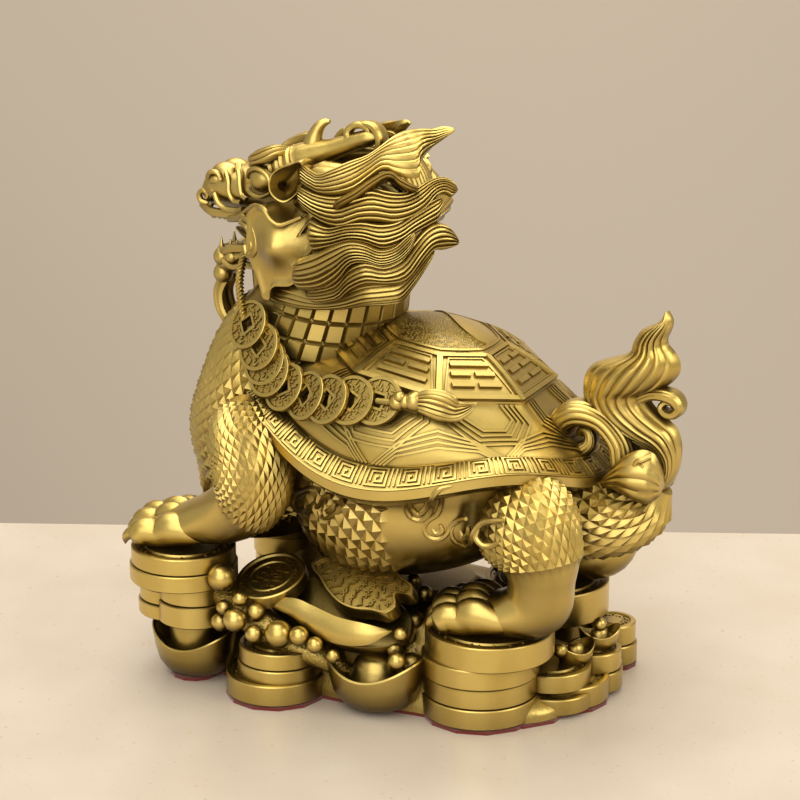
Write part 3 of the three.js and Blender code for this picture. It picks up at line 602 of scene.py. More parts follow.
# %% Cloud scrolls on the flank
FLANK_SCROLLS = [
    [
        [34.3, -66.6, 104.4], [30.1, -58.5, 96.8], [30.9, -56.3, 92.6], [34.1, -55.3, 91],
        [38, -54.7, 93.2], [41, -56.3, 98.6], [45.5, -64.3, 106.6], [47.9, -63.6, 109.4],
        [52.4, -61.5, 110.7],
    ],
    [
        [34.6, -63.3, 102.5], [32.1, -57.9, 96.9], [34.3, -55.7, 93.9], [37.8, -56.2, 96.7],
        [41, -59.3, 102.2], [44.3, -64.8, 107.9],
    ],
    [
        [48.2, -63.3, 108], [44.8, -55.5, 99.8], [42.3, -53.9, 94.5], [38.3, -54.3, 91.3],
        [36.4, -54.1, 87.4], [37.8, -53.1, 83.7], [41.4, -52, 82.6], [45, -50.8, 85], [47.2, -50.6, 89.3],
        [50.5, -50.8, 91.6], [56.4, -56.1, 95.1],
    ],
    [
        [49.2, -49.9, 90.7], [47, -50.1, 86.4], [47.9, -47.8, 81.3], [50.4, -44.1, 79.1], [59, -55.5, 86],
        [61.2, -57.6, 91], [64, -57.9, 94.6], [68.6, -59.3, 97.1], [74.7, -59.9, 98.6],
    ],
    [
        [63.1, -57.9, 92.7], [61.8, -57.9, 88.6], [65.1, -58.2, 85.6], [69.5, -57.9, 86.2],
        [73.4, -58.7, 89.3],
    ],
    [[39.7, -53.3, 87.7], [41.2, -52.6, 85.4], [43.7, -51.9, 86.9], [43.2, -52.8, 89.8]],
    [[50.1, -48.7, 87.3], [51.7, -48.1, 84.2], [57.3, -54.8, 88.6], [57.6, -56.6, 92.3]],
]
FRONT_SCROLLS = [
    [
        [-17, -50.8, 96.9], [-25.9, -43.8, 92], [-33.6, -36.6, 85.9], [-35.5, -35, 81.4],
        [-34.6, -31.1, 77], [-22.4, -44.3, 82.6], [-14.9, -49.4, 88.6], [-8.7, -55, 95.3],
        [-5.8, -56.9, 96.8],
    ],
    [
        [-18.9, -48.9, 94.2], [-26.9, -42, 89], [-31.6, -36.6, 83.9], [-28.5, -39, 82.3],
        [-21.1, -45.9, 85.6], [-15.9, -49.3, 90.7],
    ],
    [
        [-16.4, -48.3, 86.6], [-14.9, -48.6, 83.7], [-9.7, -51.3, 84.5], [-4.6, -53.7, 87.8],
        [-1.1, -55.9, 93.1], [-0.1, -59, 96.5],
    ],
    [[-13, -50.3, 88.2], [-10.6, -51.2, 87.1], [-6.6, -53.5, 89.7], [-4.7, -55.4, 93.3]],
]
SCROLL_HALF = 1.5


def scroll(path):
    """A round raised line that thins to both ends by the fourth power of the way from its middle."""
    t = np.linspace(-1, 1, len(path))
    halves = SCROLL_HALF * (1 - 0.45 * t**4)
    return limb(np.c_[np.asarray(path, float), halves, halves], 8, 3 * len(path), out=(0.1, -1, 0.1))


scrolls = both([scroll(path) for path in FLANK_SCROLLS + FRONT_SCROLLS])
body_parts = [belly, neck, collar, *scrolls]
print("scrolls", len(scrolls))

# %% [markdown]
# ## Legs, paws and tail
# Each leg is one limb with scales down to the joint and smooth metal below, as if polished. The paws are
# four toes with knuckles and claws on a pad that is flat where it stands on its coin. The tail is a scaled
# root that breaks into a flame of strands with two rolled tendrils.

# %% Legs and paws
FRONT_PAW_HEIGHT, REAR_PAW_HEIGHT = 62.0, 40.0
# From root to end, shares of a toe's reach, lift, half width and half depth.
FINGER = [
    (-1.1, 0.8, 0.3, 0.3), (-0.7, 0.9, 0.8, 0.62), (-0.1, 1.0, 1.05, 0.9), (0.2, 0.72, 0.88, 0.72),
    (0.48, 0.8, 1.0, 0.74), (0.74, 0.48, 0.85, 0.55),
]
CLAW = [(0.62, 0.66, 0.62, 0.4), (0.84, 0.62, 0.55, 0.34), (0.98, 0.3, 0.36, 0.2)]
CUFF = [(0.6, 0.6, 0.84, 0.6), (0.68, 0.58, 0.8, 0.56)]
FINGER_END, CLAW_END = 1.2, 0.3


def toe(x, y, reach, spread, width, lift, ground):
    """A toe with two knuckles and a cuff, and a claw that leaves it in a short arc. It runs `reach`
    forwards and `spread` sideways, and stands `lift` over the ground."""
    at = lambda share, rise: [x - reach * share, y + spread * share, ground + lift * rise]
    line = lambda plan: [[*at(share, rise), width * wide, lift * deep] for share, rise, wide, deep in plan]
    return [
        limb([*line(FINGER), [*at(0.86, 0.36), FINGER_END, FINGER_END]], 16, 20),
        limb([*line(CLAW), [*at(1.0, 0.0), CLAW_END, CLAW_END]], 12, 12),
        limb(line(CUFF), 20, 4),
    ]


def leg(stations, around, rows, scaled, toes, ground):
    """A scaled leg and its toes. All that lies below the ground is pressed up to it, as a paw that
    stands on a coin."""
    forms = [limb(stations, around, rows, lift=scaled, weave=True)]
    forms += [part for plan in toes for part in toe(*plan, ground)]
    return [(np.c_[p[:, :2], np.maximum(p[:, 2], ground)], t, g) for p, t, g in forms]


FRONT_LEG = [
    [-54, -36, 122, 12, 13], [-51, -46, 114, 17, 17], [-45, -53, 102, 18.5, 17], [-46, -55, 90, 17, 15.5],
    [-57, -54, 80.5, 14, 13.5], [-72, -51, 74, 14, 10.5], [-86, -50, 69.5, 15, 8], [-98, -50, 66, 13, 5],
    [-103, -50, 64, 6, 2.5],
]
FRONT_TOES = [
    (-85, -61, 19, -3, 6.2, 8.8), (-89, -53, 18, -1, 5.2, 9.6), (-90, -45, 17.5, 1, 5.0, 9.8),
    (-88, -37, 16, 3, 5.0, 9),
]
REAR_LEG = [
    [70, -28, 97, 9.5, 14], [74, -36, 94, 16, 21], [79, -41, 88, 18, 22], [84, -43, 79, 15.5, 18.5],
    [85, -42, 68, 13, 14.5], [82, -39, 56, 13.5, 14.5], [71, -38, 50, 14.5, 11], [58, -38, 47.5, 15, 8],
    [48, -38, 44.5, 12, 5], [42, -38, 42, 6, 2.5],
]
REAR_TOES = [
    (55, -50, 18, -1, 5.6, 9.4), (52, -43, 18, 0, 5.2, 10), (50, -35, 17, 0, 5.2, 10),
    (51, -27, 15, 1, 5.0, 9.4),
]
leg_parts = both(
    leg(FRONT_LEG, 56, 48, scales(1.0, 0.05, 0.43, 0.4), FRONT_TOES, FRONT_PAW_HEIGHT)
    + leg(REAR_LEG, 52, 44, scales(1.15, 0.03, 0.33, 0.5), REAR_TOES, REAR_PAW_HEIGHT)
)
print("leg triangles", sum(len(part[1]) for part in leg_parts))

# %% Tail
def strands(ribs, height):
    """Ribs along a lock of hair: the size of a cosine, so that the tops are round and the joints sharp."""
    return lambda u, v: height * (np.abs(np.cos(np.pi * ribs * u)) - 0.6) * smooth(1.02 - v, 0, 0.2)


TAIL_ROOT = [
    [68, 0, 90, 25, 20], [82, 0, 87, 25, 20], [95, 0, 86, 22, 19], [107, 0, 88, 17, 16],
    [116, 0, 94, 11, 12], [122, 0, 102, 5, 6],
]
FLAME_LEFT = [
    [118.2, 94.8], [121.4, 105.2], [120.8, 112.2], [116.6, 117], [110.3, 119.2], [102.1, 122.1],
    [94.7, 126.5], [89.2, 131.5], [86.3, 136.9], [85.8, 142.2], [87, 147.7], [90.5, 152.1], [96.8, 155],
    [103, 157.1], [106.9, 159.7], [108.1, 163.8], [111.1, 168.9], [115, 171.3], [119.3, 173.8],
    [121.6, 177.9],
]
FLAME_RIGHT = [
    [123.4, 98.3], [129.2, 108.1], [130.8, 115.9], [130.6, 121.6], [128.7, 127.5], [124.6, 131.3],
    [119.6, 135.1], [116.4, 139], [116.7, 142.6], [122, 145], [126.3, 148.6], [128.8, 152.8],
    [128.6, 157.2], [126.3, 161.2], [123.6, 163.9], [123.1, 166.9], [124.3, 169.6], [125.3, 172.8],
    [125, 175.7], [123.1, 178.5],
]
LEFT_CURL = [
    [108, 106, 6], [106.5, 112.5, 5.6], [105, 119.1, 5.2], [101.2, 124.4, 5], [96.2, 128.6, 5],
    [89.6, 130.6, 5.4], [82.6, 129.6, 5.6], [77.6, 124.8, 5.4], [77.4, 118.6, 4.9], [81.2, 114.2, 4.2],
    [86.9, 114.2, 3.6], [91, 118.2, 3], [90, 122.4, 2.5], [86.6, 122.8, 2], [86, 120.1, 1.6],
]
RIGHT_CURL = [
    [111, 139, 2.2], [117.8, 142.4, 2.5], [123.6, 142.8, 2.8], [128.2, 141, 2.7], [129.8, 137.8, 2.4],
    [127.4, 134.8, 2.1], [123.9, 134.6, 1.9], [121.6, 137.1, 1.6], [123.7, 139.4, 1.3], [126.4, 138.6, 1.0],
    [126.2, 137.2, 0.7],
]


def curl(path, y, wide, around=40, rows=56, ribs=10, relief=0.35):
    """A ribbon that rolls up in an upright plane: its traced middle line with half thicknesses, and
    across it a width that keeps a fixed share of the thickness."""
    x, z, half = np.asarray(path, float).T
    stations = np.c_[x, np.full(len(x), y), z, half * wide, half]
    rib = lambda u, v: relief * (np.abs(np.cos(np.pi * ribs * u)) - 0.5) * (1.15 - v)
    return limb(stations, around, rows, lift=rib, square=0.75)


upright = lambda outline: np.insert(np.asarray(outline, float), 1, 0.0, axis=1)  # x, z to x, 0, z
tail_parts = [
    limb(TAIL_ROOT, 40, 15, lift=scales(1.7, 0.0, 0.86), weave=True),
    leaf(upright(FLAME_LEFT), upright(FLAME_RIGHT), 56, 7, 11.0, 11.0, relief=1.2, two_sided=True),
    curl(LEFT_CURL, -2.0, 1.5, 56, 52, 14, 0.7), curl(RIGHT_CURL, -1.0, 1.9, 36, 44, 9, 0.45),
]
SWIRL_TOP = [
    [98.5, -10, 104.5], [103.8, -11, 110.8], [109.4, -12, 116.8], [116, -12, 120.4], [121.3, -11, 119.8],
    [124.1, -10, 115.9], [125.6, -9, 110.5], [125.4, -8, 104.8],
]
SWIRL_FOOT = [
    [99.6, -11, 101.5], [105.3, -13, 101.4], [111.6, -14, 99.6], [116.4, -13, 97.4], [120.4, -12, 97],
    [122.6, -10, 98.4], [124.6, -9, 100.4], [125.4, -8, 103.6],
]
swirl = [
    leaf(SWIRL_FOOT, SWIRL_TOP, 26, 4, 4.4, 8.0, relief=0.7),
    rolled((117.6, -15, 114.2), (121.4, -13, 118.6), 2.7, 1.2, 1.3),
]
tail_parts += both(swirl)
print("tail triangles", sum(len(part[1]) for part in tail_parts))

# %% [markdown]
# ## The dragon's head
# The head is a smooth skull with an open mouth. On it lie a round nose, lips with teeth, a ridged brow
# over the eye, a cupped ear, a ringed horn with a prong and a rolled tip, and a flame-edged cheek guard
# with a wavy whisker along its upper edge. Sculpting would be the usual way. Limbs, balls and one dished
# surface for the cheek are enough here, because each of these forms is itself simple.

# %% Skull, snout and jaw
SKULL = [
    [5, 0, 204, 1, 1], [3, 0, 204, 12, 14], [-5, 0, 205, 22, 25], [-20, 0, 206, 27, 30],
    [-36, 0, 209, 26, 26], [-48, 0, 212, 22, 20], [-58, 0, 213.5, 17, 15], [-67, 0, 212.5, 13, 11],
    [-77, 0, 213, 11.5, 10], [-86, 0, 213, 10.5, 9], [-93, 0, 208, 6, 5],
]
JAW = [
    [-34, 0, 184, 24, 14], [-48, 0, 184.5, 20, 9], [-60, 0, 185, 14, 5], [-72, 0, 184.5, 11, 4.5],
    [-81, 0, 180, 9.5, 6.5], [-86.5, 0, 175, 5.5, 4.5],
]


def cord(path, thick, thin=None, rows=None, flat=1.0):
    """A round raised line that runs from one half thickness to another."""
    path = np.asarray(path, float)
    halves = np.linspace(thick, thick if thin is None else thin, len(path))
    return limb(np.c_[path, halves, halves * flat], 8, rows or 4 * len(path), out=(0, -1, 0.15))


upper_lip = [
    [-95, -4, 204], [-88, -9, 202.5], [-82, -11, 202.5], [-77, -12.3, 203], [-71, -14.5, 203],
    [-65, -20, 204.5],
]
lip_fold = [
    [-85, -10.5, 211], [-82.5, -12, 207.5], [-78.5, -12.8, 205.3], [-73, -14, 205.3], [-67, -17.5, 206.8],
]
nose_fold = [
    [-80.5, -8, 221], [-78, -10.5, 217], [-77.4, -11.4, 212.5], [-75, -12.3, 209.3], [-70, -14.5, 209.2],
]
cheek_fold = [
    [-75.5, -6, 224], [-72.5, -10.5, 220.5], [-71.2, -12.6, 216], [-69.8, -13.8, 212.5],
    [-66, -16.5, 211.3],
]
lip_curl = [
    [-91.5, -5, 204.5], [-94.8, -5.4, 206], [-95.4, -5.8, 208.8], [-93.2, -6.4, 210.8],
    [-90.6, -6.8, 209.4], [-91.4, -6.8, 207.4],
]
lip_knot = [[-89.8, -7.2, 211.2], [-87.6, -8.4, 212.8], [-85.6, -9.4, 211.4]]
# Lips and folds, the round nose with its nostril, the eye, and the two fangs.
near_head = [
    cord(upper_lip, 1.9, 2.6, flat=0.8), cord(lip_fold, 1.3, 1.5), cord(nose_fold, 1.5, 1.0),
    cord(cheek_fold, 1.6, 1.0), cord(lip_curl, 1.7, 0.9), cord(lip_knot, 1.7, 1.2),
    ball(-82.2, -4.6, 218.4, 7.4, 5.6, 6.0), ball(-85.4, -8.6, 217.0, 3.6, 2.4, 3.0),
    cord([[-88.6, -9.6, 217.8], [-86.4, -11, 220.6], [-83, -11.4, 220.4], [-81.4, -11.4, 217.4]], 1.5, 0.8),
    ball(-56.5, -17.0, 221.5, 6.8, 5.6, 6.0),
    cord([[-90, -5.6, 205], [-89.8, -6.2, 201.6], [-88.6, -6.2, 198.6]], 1.7, 0.3),
    cord([[-84, -6, 183], [-84.6, -6, 187], [-84.6, -6, 190.4]], 1.7, 0.3),
]
upper_teeth = [(x, -9.5 - 0.1 * (x + 86)) for x in np.linspace(-86, -73, 6)]
near_head += [cord([[x, y, 203], [x + 0.2, y, 199.6]], 1.15, 0.5, rows=5) for x, y in upper_teeth]
near_head += [cord([[x, -8, 187], [x, -8, 190.2]], 1.1, 0.5, rows=5) for x in np.linspace(-79, -66, 5)]
BROW_TOP = [
    [-66, -12, 227], [-63.2, -14, 230.8], [-59, -15, 233.8], [-54, -15, 235.6], [-49.6, -14.6, 235.9],
    [-45.4, -13.6, 234.4],
]
BROW_FOOT = [
    [-65, -15, 225.4], [-61.7, -18.6, 226.4], [-57.6, -20, 227.4], [-53.4, -20.4, 229.4],
    [-49.5, -19.6, 231.8], [-45.6, -17, 233.4],
]
upper_lid = [
    [-66, -14, 221], [-63, -18.6, 224.8], [-58, -21.4, 226.6], [-52.6, -22.8, 224.6], [-49.4, -24.4, 219.4],
]
lower_lid = [[-65.5, -15.5, 216.5], [-61.5, -20.4, 215.2], [-55.4, -22.6, 214.6], [-50, -24.6, 217]]
near_head += [
    leaf(BROW_FOOT, BROW_TOP, 26, 4, 3.2, 3.0, (-0.2, -0.8, 0.6), 0.9), cord(upper_lid, 1.3, 0.9),
    cord(lower_lid, 1.3, 0.9),
]
jaw_edge = [[-60, -13, 188.5], [-68, -11.5, 188], [-76, -10, 187], [-83, -7, 184.5], [-88, 0, 183.5]]
lower_lip = [
    cord(jaw_edge, 2.2, 2.0),
    cord([[-62, -15, 181], [-70, -12, 180.4], [-77, -10.5, 178.6], [-82.5, -8.5, 180.5]], 1.6, 1.3),
    ball(-84.5, -5, 181.5, 4.4), ball(-78, -8, 182.5, 3.4), ball(-85.4, -3.4, 173.4, 4.6, 4.4, 4.6),
]
tongue = limb(
    [[-48, 0, 190, 8, 4], [-64, 0, 193, 6.5, 2.6], [-74, 0, 192, 5, 2], [-80, 0, 194, 1.2, 0.8]], 16, 20,
)
beard = [
    [[-86.5, -2, 172], [-89.5, -2, 164], [-88.5, -2.5, 157], [-84, -3, 150.5], [-78.5, -3.5, 146]],
    [[-84, -3, 171], [-86.6, -4, 164], [-85.4, -4.6, 157], [-81.2, -5, 151], [-77, -5, 146.5]],
]
dewlap = [[-64, -6, 178, 5, 5], [-63, -8, 168, 4, 4], [-60.5, -10, 159, 3.4, 3.4], [-57, -12, 151, 3, 3]]
snout_parts = [
    limb(SKULL, 40, 34), limb(JAW, 28, 26), tongue,
    *both([*near_head, *lower_lip, *(cord(path, 2.0, 1.6) for path in beard)]), limb(dewlap, 14, 20),
]
print("snout and jaw", len(snout_parts), "forms")

# %% Cheek guard, ear and horns
CHEEK = np.array([
    [-57.8, 208.6], [-54.3, 212], [-50.5, 213.6], [-47.1, 212.6], [-43.8, 209.5], [-40, 207.2],
    [-35.2, 208.6], [-31.3, 210.7], [-28, 211.5], [-24.7, 214.4], [-24.2, 211.4], [-27.1, 207.2],
    [-29.2, 203.4], [-26.2, 205.1], [-22.9, 205.5], [-22.9, 200.2], [-25.3, 195.6], [-29.6, 191.6],
    [-33, 189.6], [-29.7, 188.6], [-31.2, 184.1], [-34.6, 180.6], [-39, 179.7], [-42.8, 179.2],
    [-45.3, 176.8], [-46.3, 172.7], [-49.2, 172.4], [-50.6, 176.7], [-52.5, 183.1], [-55.8, 188.5],
    [-58.1, 193.6], [-57.5, 201.6],
])
CHEEK_MIDDLE = np.array([-40.5, 197.5])


def cheek_face(x, z):
    """How far out the guard's bare face lies: 36 mm at its middle, curving back to the mouth."""
    to_mouth, to_neck = np.minimum(x + 40, 0), np.maximum(x + 34, 0)
    return -36.0 + 0.016 * to_mouth**2 + 0.004 * (z - 198) ** 2 + 0.010 * to_neck**2


def cheek_guard():
    """Rings from the middle to the flame edge. From a soft boss of 6.6 exp(-(r/8)^2) the face falls and
    rises to a thin rim, then turns in behind to the head."""
    edge = looped(upright(CHEEK), 108)[:, [0, 2]]
    share = np.r_[np.linspace(0.04, 0.9, 13), 0.94, 0.97, 1.0, 1.0, 0.96]
    reach = np.linalg.norm(edge - CHEEK_MIDDLE, axis=1)
    flat = CHEEK_MIDDLE + (edge - CHEEK_MIDDLE)[None] * share[:, None, None]
    radius = share[:, None] * reach[None]
    boss = 6.6 * np.exp(-((radius / 8.0) ** 2))
    out = boss + 1.3 * smooth(share, 0.8, 0.97)[:, None] + 0.2
    out[-2:] -= [[1.2], [14.0]]
    y = cheek_face(flat[..., 0], flat[..., 1]) - out
    return skin(np.stack([flat[..., 0], y, flat[..., 1]], axis=-1))


def ear():
    """A cup: a leaf-shaped ring lifts to a thin rim. Behind it the ear turns in to the head, and
    inside it sinks by a smooth step to the ear hole."""
    rim = np.array([
        [-46.6, 224.6], [-45.2, 228.4], [-41.4, 231.2], [-36.4, 232.9], [-30.9, 234.2], [-29.4, 230.2],
        [-30.2, 225.6], [-32.3, 221.6], [-35.8, 218.2], [-39.6, 216.6], [-43.4, 218.0], [-46.2, 221.2],
    ])
    ring = looped(upright(rim), 56)
    edge = np.c_[0.86 * (ring[:, 0] + 38) - 36.5, -35.0 + 0.25 * (ring[:, 0] + 40), ring[:, 2]]
    middle = edge.mean(0)
    hole = np.array([-41.6, -30.0, 222.0])
    shares = [
        (0.7, 16.0, 0), (0.9, 10.0, 0), (1.04, 4.5, 0), (1.06, 1.2, 0), (1.0, -1.1, 0), (0.93, -0.9, 0),
        (0.88, 0.6, 0), (0.76, 2.6, 0.1), (0.56, 3.8, 0.3), (0.36, 4.2, 0.6), (0.2, 4.4, 1.0),
        (0.15, 7.5, 1.0), (0.06, 8.5, 1.0),
    ]
    flat, depth = np.array([1, 0, 1]), np.array([0, 1, 0])
    rings = [
        mix(middle, hole, pull) * flat + (edge - middle) * share * flat + (edge[:, 1:2] + deep) * depth
        for share, deep, pull in shares
    ]
    return skin(np.array(rings))


HORN = [
    [-53, -14, 226, 5.6, 5.6], [-47, -14, 228, 6.2, 6.6], [-40, -14, 230.6, 6.6, 7.4],
    [-32, -14, 233.8, 5.6, 6.2], [-25, -14, 236.4, 4.6, 4.9], [-18, -14, 239.2, 4.0, 4.1],
    [-12, -14, 241.6, 3.7, 3.8], [-6.6, -14, 243, 3.2, 3.4], [-3, -14, 243.4, 1.6, 1.8],
]
PRONG = [
    [-35, -13.5, 233.5, 4.8, 6.0], [-34.8, -13.5, 238, 3.8, 4.4], [-33.8, -13, 242.2, 3.0, 3.2],
    [-31.9, -12.6, 245.8, 2.3, 2.4], [-29.6, -12, 247.6, 1.7, 1.7], [-27.4, -12, 248, 0.8, 0.8],
]
HORN_CURL = [
    [-17, 241.6, 2.2], [-17.6, 244.8, 1.9], [-15.4, 247.3, 1.7], [-12, 248.2, 1.6], [-8.6, 247, 1.6],
    [-7.4, 244, 1.6], [-9.2, 241.4, 1.5],
]
HORN_WRAP = [
    [-14, 247.4, 1.2], [-10.6, 248.4, 1.6], [-6.6, 248, 1.8], [-3.6, 245.4, 2.0], [-2.6, 241, 2.1],
    [-4.2, 237, 1.9], [-7.4, 234.6, 1.4],
]
MOUSTACHE = [
    [-76.7, -12.5, 201], [-67.5, -19.5, 203.8], [-60.2, -26, 208.8], [-53.1, -32, 212.6],
    [-46.6, -36.5, 212.4], [-42.3, -39, 209.2], [-38, -39.5, 207.4], [-33.7, -38.5, 208.9],
    [-28.5, -37.5, 211.4],
]
CORNER_LOOPS = [
    [
        [-62.7, -26, 205.8], [-57.2, -30, 204.7], [-53.3, -32.6, 201.1], [-51.9, -34, 195.8],
        [-54.4, -33, 191.3], [-58.5, -30.5, 190.4], [-60.9, -28, 193.5],
    ],
    [
        [-64.3, -25, 203.2], [-59.3, -28.6, 202], [-56.3, -31, 198.4], [-55.4, -32.2, 194.3],
        [-57.4, -31.4, 191.7],
    ],
]
ears = both([ear()])
ringed = lambda u, v: 0.55 * np.cos(TURN * v * 17) * (1 - smooth(v, 0.16, 0.3))
horns = [
    limb(HORN, 20, 44, lift=ringed), limb(PRONG, 16, 16), curl(HORN_CURL, -13.4, 1.7, 12, 24, 2, 0.0),
    curl(HORN_WRAP, -12.4, 2.2, 16, 26, 3, 0.25),
]
# The far horn stands nearer to the middle and lower, as the photo's outline shows it.
horns += [(p * [1, -0.75, 1] - [0, 0, 7.5], t[:, ::-1], g) for p, t, g in horns]
cheeks = both([
    cheek_guard(), cord(MOUSTACHE, 1.8, 0.8, rows=34), *(cord(path, 1.5, 1.2) for path in CORNER_LOOPS),
])
head_parts = [*snout_parts, *ears, *horns, *cheeks]
print("head triangles", sum(len(part[1]) for part in head_parts))

# %% [markdown]
# ## The mane
# Flame-shaped locks flow back from the cheek over a ribbed mass. Hair curves or particles would be far
# too fine and loose for a casting. Each lock is a leaf between its two traced edges, which lie on an
# egg-shaped surface, with rounded ribs for its strands and a tip that lifts free.

# %% Locks
MANE_MIDDLE = np.array([-10.0, 0.0, 202.0])


def off_mane(points):
    """The way out of the egg that the mane lies on."""
    return unit((points - MANE_MIDDLE) / np.array([56.0, 46.0, 46.0]) ** 2)


# Pairs of edges from root to tip, the upper edge first: the lock's own outline on the real figure.
LOCK_EDGES = {
    "top": (
        [
            [-31.7, -29.1, 232.8], [-21.6, -35.1, 230.2], [-14.8, -33.7, 233.1], [-8.7, -30.9, 236],
            [-2.7, -27.8, 238.1], [1.1, -22.2, 241.2], [3.1, -14.6, 244.3], [5.6, -8, 246], [13, -8, 247.4],
            [19, -8, 248.2], [23.6, -7, 249.2], [27.3, -7, 249], [28.4, -7, 248.2],
        ],
        [
            [-29, -36.4, 225.4], [-19.1, -40.3, 222.9], [-9.5, -40.7, 223.4], [-2.1, -38.8, 225.8],
            [2.8, -34.5, 230.5], [6.9, -30.5, 233.5], [13.8, -29.5, 231.4], [20.6, -25.5, 230.8],
            [19, -20.9, 235.3], [19.2, -11.4, 239.5], [22.7, -8, 243], [26.9, -7, 246.4], [28, -7, 247.6],
        ],
    ),
    "second": (
        [
            [-28.1, -37.3, 224.4], [-19.1, -40.3, 222.9], [-9.4, -40.9, 223], [-2, -39, 225.5],
            [3.3, -36.6, 227.6], [10.1, -35.4, 226.3], [16.3, -33.1, 225.6], [20.2, -29.6, 226.9],
            [23.8, -24.5, 229.2], [27.4, -19.3, 230.2], [31.2, -16.6, 228.3], [34, -16.5, 225.2],
        ],
        [
            [-26.1, -41.5, 216.9], [-16.1, -44.6, 212.1], [-6.5, -45.1, 210.5], [1.9, -43.4, 213.6],
            [9.3, -41.5, 213.9], [16.4, -39, 213.2], [22, -35.4, 215.1], [26.3, -30.9, 218.4],
            [28.6, -25.8, 223.1], [30.8, -22.6, 224], [33.2, -20.8, 222.6], [34.2, -18, 223.8],
        ],
    ),
    "arch": (
        [
            [-8, -41.9, 220.8], [-1.8, -39.4, 224.7], [3.4, -35.8, 228.7], [9.2, -31.6, 231.4],
            [14.4, -30.9, 229.6], [18.7, -30.3, 227.4], [21.5, -29.4, 226.2],
        ],
        [
            [-6.1, -43.1, 217.8], [0.6, -40.6, 221.8], [5.8, -36.9, 226.2], [10.5, -33.3, 228.9],
            [14.5, -33.2, 226.7], [18.7, -32.3, 224.8], [21.3, -30.9, 224.3],
        ],
    ),
    "third": (
        [
            [-20.2, -43.8, 213.2], [-12.1, -45.1, 210.8], [-4.5, -44.5, 212.7], [2.7, -43.2, 214],
            [10.1, -41.3, 213.5], [16.2, -38.7, 214.4], [20.9, -35.1, 217.5], [25.2, -30.5, 220.8],
            [28, -26.6, 222.8], [30.1, -24.3, 223],
        ],
        [
            [-18.7, -45.4, 199.1], [-9.9, -46, 202.3], [-1.8, -45.4, 205.1], [5, -44.2, 204.7],
            [12.3, -42.2, 202.4], [19.2, -39.1, 205], [24, -35.8, 209.1], [28.6, -31.8, 212],
            [31, -29, 213.8], [31.5, -26.2, 218.4],
        ],
    ),
    "fan": (
        [
            [-26.2, -43.5, 195.3], [-17.6, -45.5, 199.2], [-9, -46, 203.6], [-1.8, -45.3, 205.9],
            [4.6, -44.3, 205.5], [10.8, -42.7, 203.2], [16.2, -40.6, 204.6], [20.1, -38.3, 208.3],
            [22.9, -36.3, 210.3],
        ],
        [
            [-28.2, -38.2, 181.2], [-16.2, -41.3, 182.4], [-7.4, -43.7, 187.8], [-1.2, -44.9, 195.2],
            [4.9, -44, 196.9], [11.3, -42, 195.4], [17.6, -39.7, 197.3], [22.1, -37.7, 201.6],
            [24.1, -36.1, 207.4],
        ],
    ),
    "fourth": (
        [
            [-23.6, -39.7, 181.6], [-9.9, -43.3, 186.6], [-2.1, -44.9, 194.7], [5, -44.1, 197.8],
            [12.2, -41.9, 196.4], [18.5, -39.6, 199.9], [22.8, -37.1, 205.8], [26.7, -33.6, 211],
            [30.4, -29.7, 213.5], [34.4, -26.4, 211.5], [37.1, -24.3, 207],
        ],
        [
            [-22.5, -36.3, 175.7], [-9.7, -39.1, 177.8], [-3, -41.3, 182.5], [4.6, -41.6, 186.4],
            [12.7, -39.2, 186.8], [20.5, -36, 188.2], [27, -34.2, 197], [30.4, -31.8, 201.6],
            [33.3, -29.1, 201.7], [35.8, -26.5, 202.2], [37.6, -24.3, 203.2],
        ],
    ),
    "low": (
        [
            [-51.9, -22.5, 176.3], [-36.3, -33.6, 179.2], [-22.2, -37.8, 177.8], [-8.7, -41.1, 181.4],
            [1.3, -42.4, 186.7], [9.8, -40.9, 188.6], [17, -38.5, 190.1], [22.7, -36.8, 195.5],
            [27.1, -34.5, 201], [30.4, -31.8, 203.7],
        ],
        [
            [-51, -24.4, 169.6], [-42.5, -24, 167], [-24.2, -31.2, 170.3], [-9.1, -35.8, 173.1],
            [2.1, -36.5, 175.8], [11.3, -34.2, 176.8], [16.3, -33, 178.3], [21.3, -33.8, 184.3],
            [26.7, -33.5, 192.5], [30.1, -32, 199],
        ],
    ),
}
LOCK_MAKE = {
    "top": (7, 0.0), "second": (7, 0.0), "arch": (3, 2.6), "third": (6, -0.6), "fan": (7, 1.2),
    "fourth": (6, 0.0), "low": (6, -0.6),
}


def mane_lock(upper, lower, ribs, over):
    """A leaf on the egg, with one more place before its root that dives 9 mm under the cheek."""
    edges = np.array([upper, lower])
    dive = edges[:, :1] - 0.7 * (edges[:, 1:2] - edges[:, :1])
    dive = dive - 9.0 * off_mane(dive)
    upper, lower = np.concatenate([dive, edges], axis=1)
    return leaf(upper, lower, 34, ribs, 3.8, 5.0, off_mane, 1.1, over=over)


def farther(part):
    """The far side's lock: mirrored, and drawn together towards the face so that it stays behind."""
    points, triangles, grain = mirrored(part)
    return points * [0.7, 0.95, 1] + [-18.0, 0, -1.5], triangles, grain


